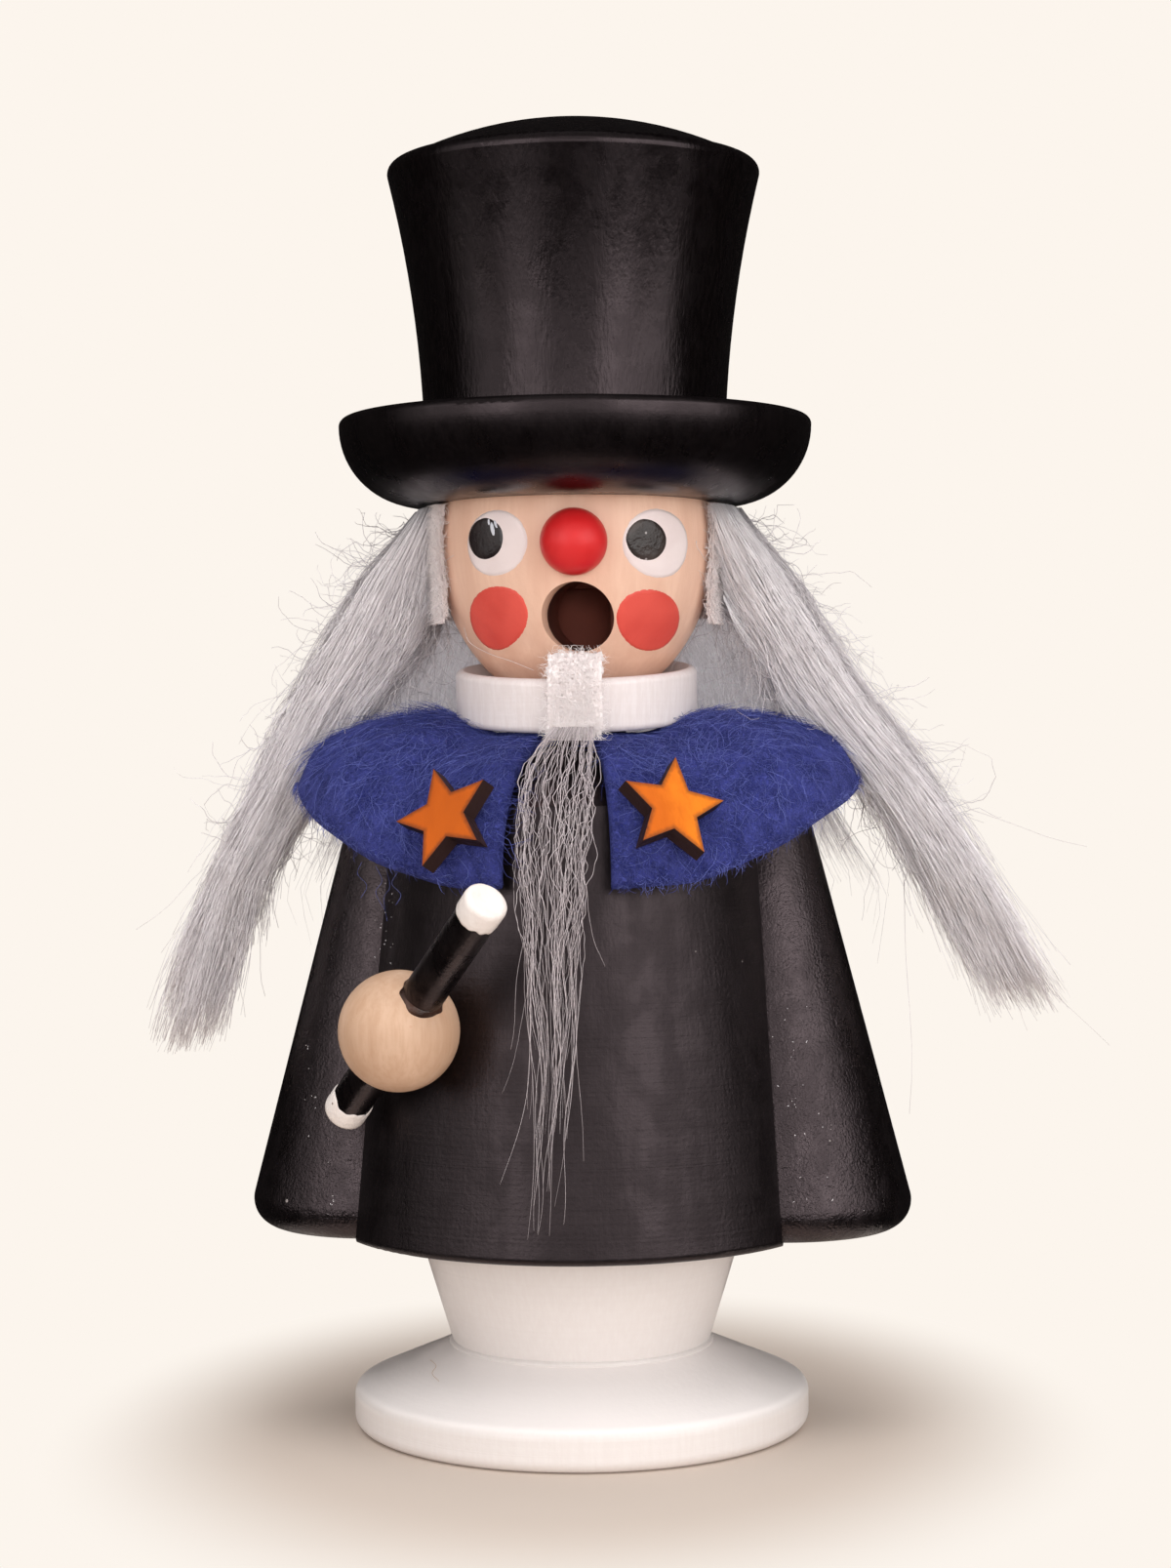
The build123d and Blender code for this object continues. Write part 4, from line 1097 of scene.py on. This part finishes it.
# single hairs and fibres on the wood, each laid where the photo shows it (points of the photo)
lint = {
    "templeHair": {"on": headSurface, "thick": 0.026, "over": 0.3, "kind": ("tuftHair", "fur_hair"), "marks": [
        [(478, 642), (484, 657), (503, 668), (526, 676), (548, 685)]]},
    "blueLint": {"on": coatSurface, "thick": 0.022, "over": 0.25, "kind": ("feltFibres", "blue_felt"), "marks": [
        [(372, 884), (368, 896), (377, 908), (371, 921)], [(386, 888), (392, 903), (386, 915), (396, 932)],
        [(398, 890), (402, 909), (394, 921), (399, 944)], [(410, 894), (404, 906), (413, 917), (408, 928)]]},
    "footHair": {"on": footSurface, "thick": 0.02, "over": 0.04, "kind": ("dowelWood", "white_paint"), "body": "base",
                 "marks": [[(441, 1394), (447, 1400), (443, 1408), (450, 1416)]]},
}


def surfacePoint(surface, x, y, over):
    spot, normal, _, _ = surface.ray_cast(*photoRay(x, y))
    return np.array(spot) / mm + np.array(normal) * over


def buildLint(name, on, thick, over, kind, marks, body="figure", steps=40):
    paths = []
    for line in marks:
        spots = np.array([surfacePoint(on, x, y, over) for x, y in line])
        at, fine = np.linspace(0, 1, len(spots)), np.linspace(0, 1, steps)
        paths.append(np.stack([glide(fine, at, axis) for axis in spots.T], -1))
    rng = np.random.default_rng(len(name))
    radius, tone = np.full((len(paths), steps), thick), np.ones(len(paths))
    addStrands(name, np.array(paths), radius, tone, rng, *kind, body=body)


for name, look in lint.items():
    buildLint(name, **look)

# boxes of the photo that hold dust and painted glints on the sleeves' highlights: left, top, right, bottom, grains
dustAndGlints = {"seed": 65, "grain": (0.02, 0.042), "boxes": [
    (312, 1070, 324, 1180, 9), (384, 905, 404, 990, 20), (334, 1185, 352, 1250, 7), (790, 1000, 830, 1120, 10),
    (804, 1120, 856, 1236, 16), (884, 1236, 892, 1242, 1)]}


# white grains: partly dust, partly painted glints where the sleeves' highlight sparkles
def buildDust(seed, grain, boxes):
    rng = np.random.default_rng(seed)
    paths = []
    for left, top, right, bottom, grains in boxes:
        for x, y in rng.uniform((left, top), (right, bottom), (grains, 2)):
            spot = surfacePoint(coatSurface, x, y, 0.0)
            paths.append(spot + np.linspace(-1, 1, 4)[:, None] * rng.normal(0, 0.05, 3))
    size = rng.uniform(*grain, (len(paths), 1)) * np.array([0.6, 1.0, 1.0, 0.6])
    addStrands("coatDust", np.array(paths), size, np.ones(len(paths)), rng, "tuftHair", "fur_hair", sides=5)


buildDust(**dustAndGlints)
print("lint and dust laid")


# thick paint round an axis; profile: how far along, radius, how loose
def buildLathe(name, heart, way, profile, material, seed, ragged, lumps, spokes=72, body="figure"):
    rng = np.random.default_rng(seed)
    way = Vector(way).normalized()
    side = way.orthogonal().normalized()
    lift = way.cross(side)
    angles = 2 * np.pi * np.arange(spokes) / spokes
    uneven = sum(rng.normal(0, 1 / k) * np.cos(k * angles + rng.uniform(0, 6.28)) for k in range(2, 14))
    uneven /= np.abs(uneven).max()
    points = []
    for along, radius, loose in profile:
        swell = radius + lumps * loose * uneven
        slide = along + ragged * loose * np.roll(uneven, 9)
        points.append(np.array(heart) + np.outer(slide, way)
                      + np.outer(swell * np.cos(angles), side) + np.outer(swell * np.sin(angles), lift))
    index, quads = gridFaces(len(points), spokes)
    mesh = meshFrom(name, np.concatenate(points), [quads[:, [0, 3, 2, 1]], index[:1, ::-1], index[-1:]])
    addPiece(name, mesh, material, body=body)


# the wand's painted ends and the smear where it leaves the hand
wand = {"heart": (-14.84, -23.75, 42.3), "way": (0.500, -0.570, 0.652), "radius": 2.0, "above": 19.9,
        "below": 13.4, "ball": 5.8}
tipProfile = [
    (-2.3, 1.7, 1.0), (-2.25, 2.03, 1.0), (-2.0, 2.12, 0.6), (-1.1, 2.13, 0.3), (-0.35, 2.14, 0.2), (0.0, 2.06, 0.1),
    (0.18, 1.85, 0.0), (0.2, 1.5, 0.0), (0.12, 1.0, 0.0), (0.06, 0.5, 0.0), (0.04, 0.05, 0.0)]
lipProfile = [
    (-0.75, 1.8, 0.0), (-0.55, 2.45, 1.0), (-0.3, 2.42, 1.0), (0.0, 2.2, 0.8), (0.3, 2.06, 0.4), (0.4, 1.8, 0.0)]
heart, way = np.array(wand["heart"]), np.array(wand["way"])
leave = math.sqrt(wand["ball"]**2 - wand["radius"]**2)
buildLathe("wandTopCap", heart + wand["above"] * way, way, tipProfile, "tipPaint", 71, 0.16, 0.05)
buildLathe("wandLowCap", heart - wand["below"] * way, -way, tipProfile, "tipPaint", 72, 0.4, 0.06)
buildLathe("wandTopSmear", heart + leave * way, way, lipProfile, "lipPaint", 73, 0.25, 0.22)
print("wand finished")

# bead of paint where the pedestal stands on the foot
beadProfile = [
    (-0.3, 12.9, 0.0), (-0.25, 13.35, 0.5), (-0.02, 13.5, 1.0), (0.2, 13.36, 0.8), (0.42, 13.15, 0.6),
    (0.5, 12.9, 0.0)]
buildLathe("footBead", (0, 0, 8.3), (0, 0, 1), beadProfile, "basePaint", 81, 0.05, 0.12, 160, "base")
print("foot bead laid")


# stage: pale sweep, dark flags for the black paint's edges, plain soft light
sweep = {"width": 4.0, "front": -1.6, "bend": 0.75, "radius": 0.7, "rise": 1.4, "steps": 16,
         "color": (0.637, 0.542, 0.473), "far": (0.974, 0.913, 0.847), "fade": (0.032, 0.060),
         "oval": (1.1, 0.85, 1.0)}


def addStage(name, points, faces):
    piece = addObject(name, meshFrom(name, np.array(points) / mm, [np.array(faces)]), name)
    return piece


def sweepPaper(name, color, far, fade, oval):
    tree, shader = newMaterial(name, Roughness=0.9, Specular_IOR_Level=0.1)
    place = objectPlace(tree)
    finish(shader, mixColor(noise(place, 6.0), [0.985 * c for c in color], color))
    away = vectorCalc("LENGTH", vectorCalc("MULTIPLY", place, oval))
    path = wires(addNode(tree, "ShaderNodeLightPath").outputs)
    seen = calc("MAXIMUM", path["Is Glossy Ray"], path["Is Transmission Ray"])
    seen = calc("MAXIMUM", path["Is Camera Ray"], seen)
    glow = wireFrom(tree, "ShaderNodeEmission", 0, {"Color": far, "Strength": 1.0})
    layers = {0: seen * ease(away, *fade), 1: Wire(shader.outputs[0]), 2: glow}
    feed(tree.nodes["Material Output"].inputs["Surface"], wireFrom(tree, "ShaderNodeMixShader", 0, layers))


def buildSweep(width, front, bend, radius, rise, steps, **paper):
    profile = [(front, 0.0), (0.0, 0.0)]
    for angle in np.linspace(0, math.pi / 2, steps + 1):
        profile.append((bend + radius * math.sin(angle), radius * (1 - math.cos(angle))))
    profile.append((bend + radius, rise))
    points = [(side * width / 2, y, z) for y, z in profile for side in (-1, 1)]
    faces = [(2 * k, 2 * k + 1, 2 * k + 3, 2 * k + 2) for k in range(len(profile) - 1)]
    sweepPaper("paleSweep", **paper)
    addStage("paleSweep", points, faces)


buildSweep(**sweep)

flags = {"reach": 0.6, "height": 2.5, "turns": (84, 276), "steps": 28, "mat": (0.045, 1.5), "matSteps": 48,
         "color": (0.012, 0.011, 0.011)}


# flags and mat are seen in gloss alone, as black card beside a camera would be
def hangFlags(reach, height, turns, steps, mat, matSteps, color):
    points, faces = [], []
    for turn in np.linspace(*turns, steps + 1):
        x, y = polar(turn, reach)
        points += [(x, y, 0.001), (x, y, height)]
    for k in range(steps):
        faces.append((2 * k, 2 * k + 2, 2 * k + 3, 2 * k + 1))
    first = len(points)
    for k in range(matSteps):
        points += [(*polar(360 * k / matSteps, away), 0.002) for away in mat]
        here, beside = first + 2 * k, first + 2 * ((k + 1) % matSteps)
        faces.append((here, here + 1, beside + 1, beside))
    newMaterial("darkFlags", Base_Color=color, Roughness=0.95, Specular_IOR_Level=0.0)
    flag = addStage("darkFlags", points, faces)
    flag.visible_camera = flag.visible_diffuse = flag.visible_shadow = False
    flag.visible_transmission = flag.visible_volume_scatter = False


hangFlags(**flags)

lampAim = 0.07  # height that every lamp looks at
# azimuth and height in degrees, distance, size, power, whether it leaves a glint
lamps = {
    "rightWindow": (36, 12, 0.85, (0.38, 0.50), 1.55, True),
    "leftWindow": (-28, 12, 0.85, (0.42, 0.50), 1.42, True),
    "rightSide": (64, 14, 0.85, (0.44, 0.50), 1.15, True),
    "leftSide": (-60, 14, 0.85, (0.44, 0.50), 0.45, True),
    "frontSoft": (6, 32, 0.95, (0.60, 0.30), 0.35, True),
    "frontCard": (5, 7, 0.90, (0.50, 0.30), 0.55, True),
    "frontFill": (6, 5, 0.60, (0.10, 0.08), 0.58, False),
    "rightFill": (68, 6, 0.70, (0.20, 0.20), 0.32, False),
    "topSoft": (5, 82, 0.80, (1.10, 1.00), 8.6, False),
}


def hangLamp(name, azimuth, height, distance, size, power, gloss):
    data = bpy.data.lights.new(name, "AREA")
    data.shape = "RECTANGLE"
    data.size, data.size_y = size
    data.energy = power
    light = bpy.data.objects.new(name, data)
    light.visible_glossy = gloss
    scene.collection.objects.link(light)
    x, y = polar(azimuth, distance * math.cos(math.radians(height)))
    spot = Vector((x, y, lampAim + distance * math.sin(math.radians(height))))
    turn = (Vector((0, 0, lampAim)) - spot).to_track_quat("-Z", "Y")
    light.matrix_world = Matrix.Translation(spot) @ turn.to_matrix().to_4x4()


for name, lamp in lamps.items():
    hangLamp(name, *lamp)
world = bpy.data.worlds.new("studio")
scene.world = world
world.use_nodes = True
room = world.node_tree.nodes["Background"]
feed(room.inputs["Color"], (1.0, 0.985, 0.97))
feed(room.inputs["Strength"], 0.20)
print("stage lit")
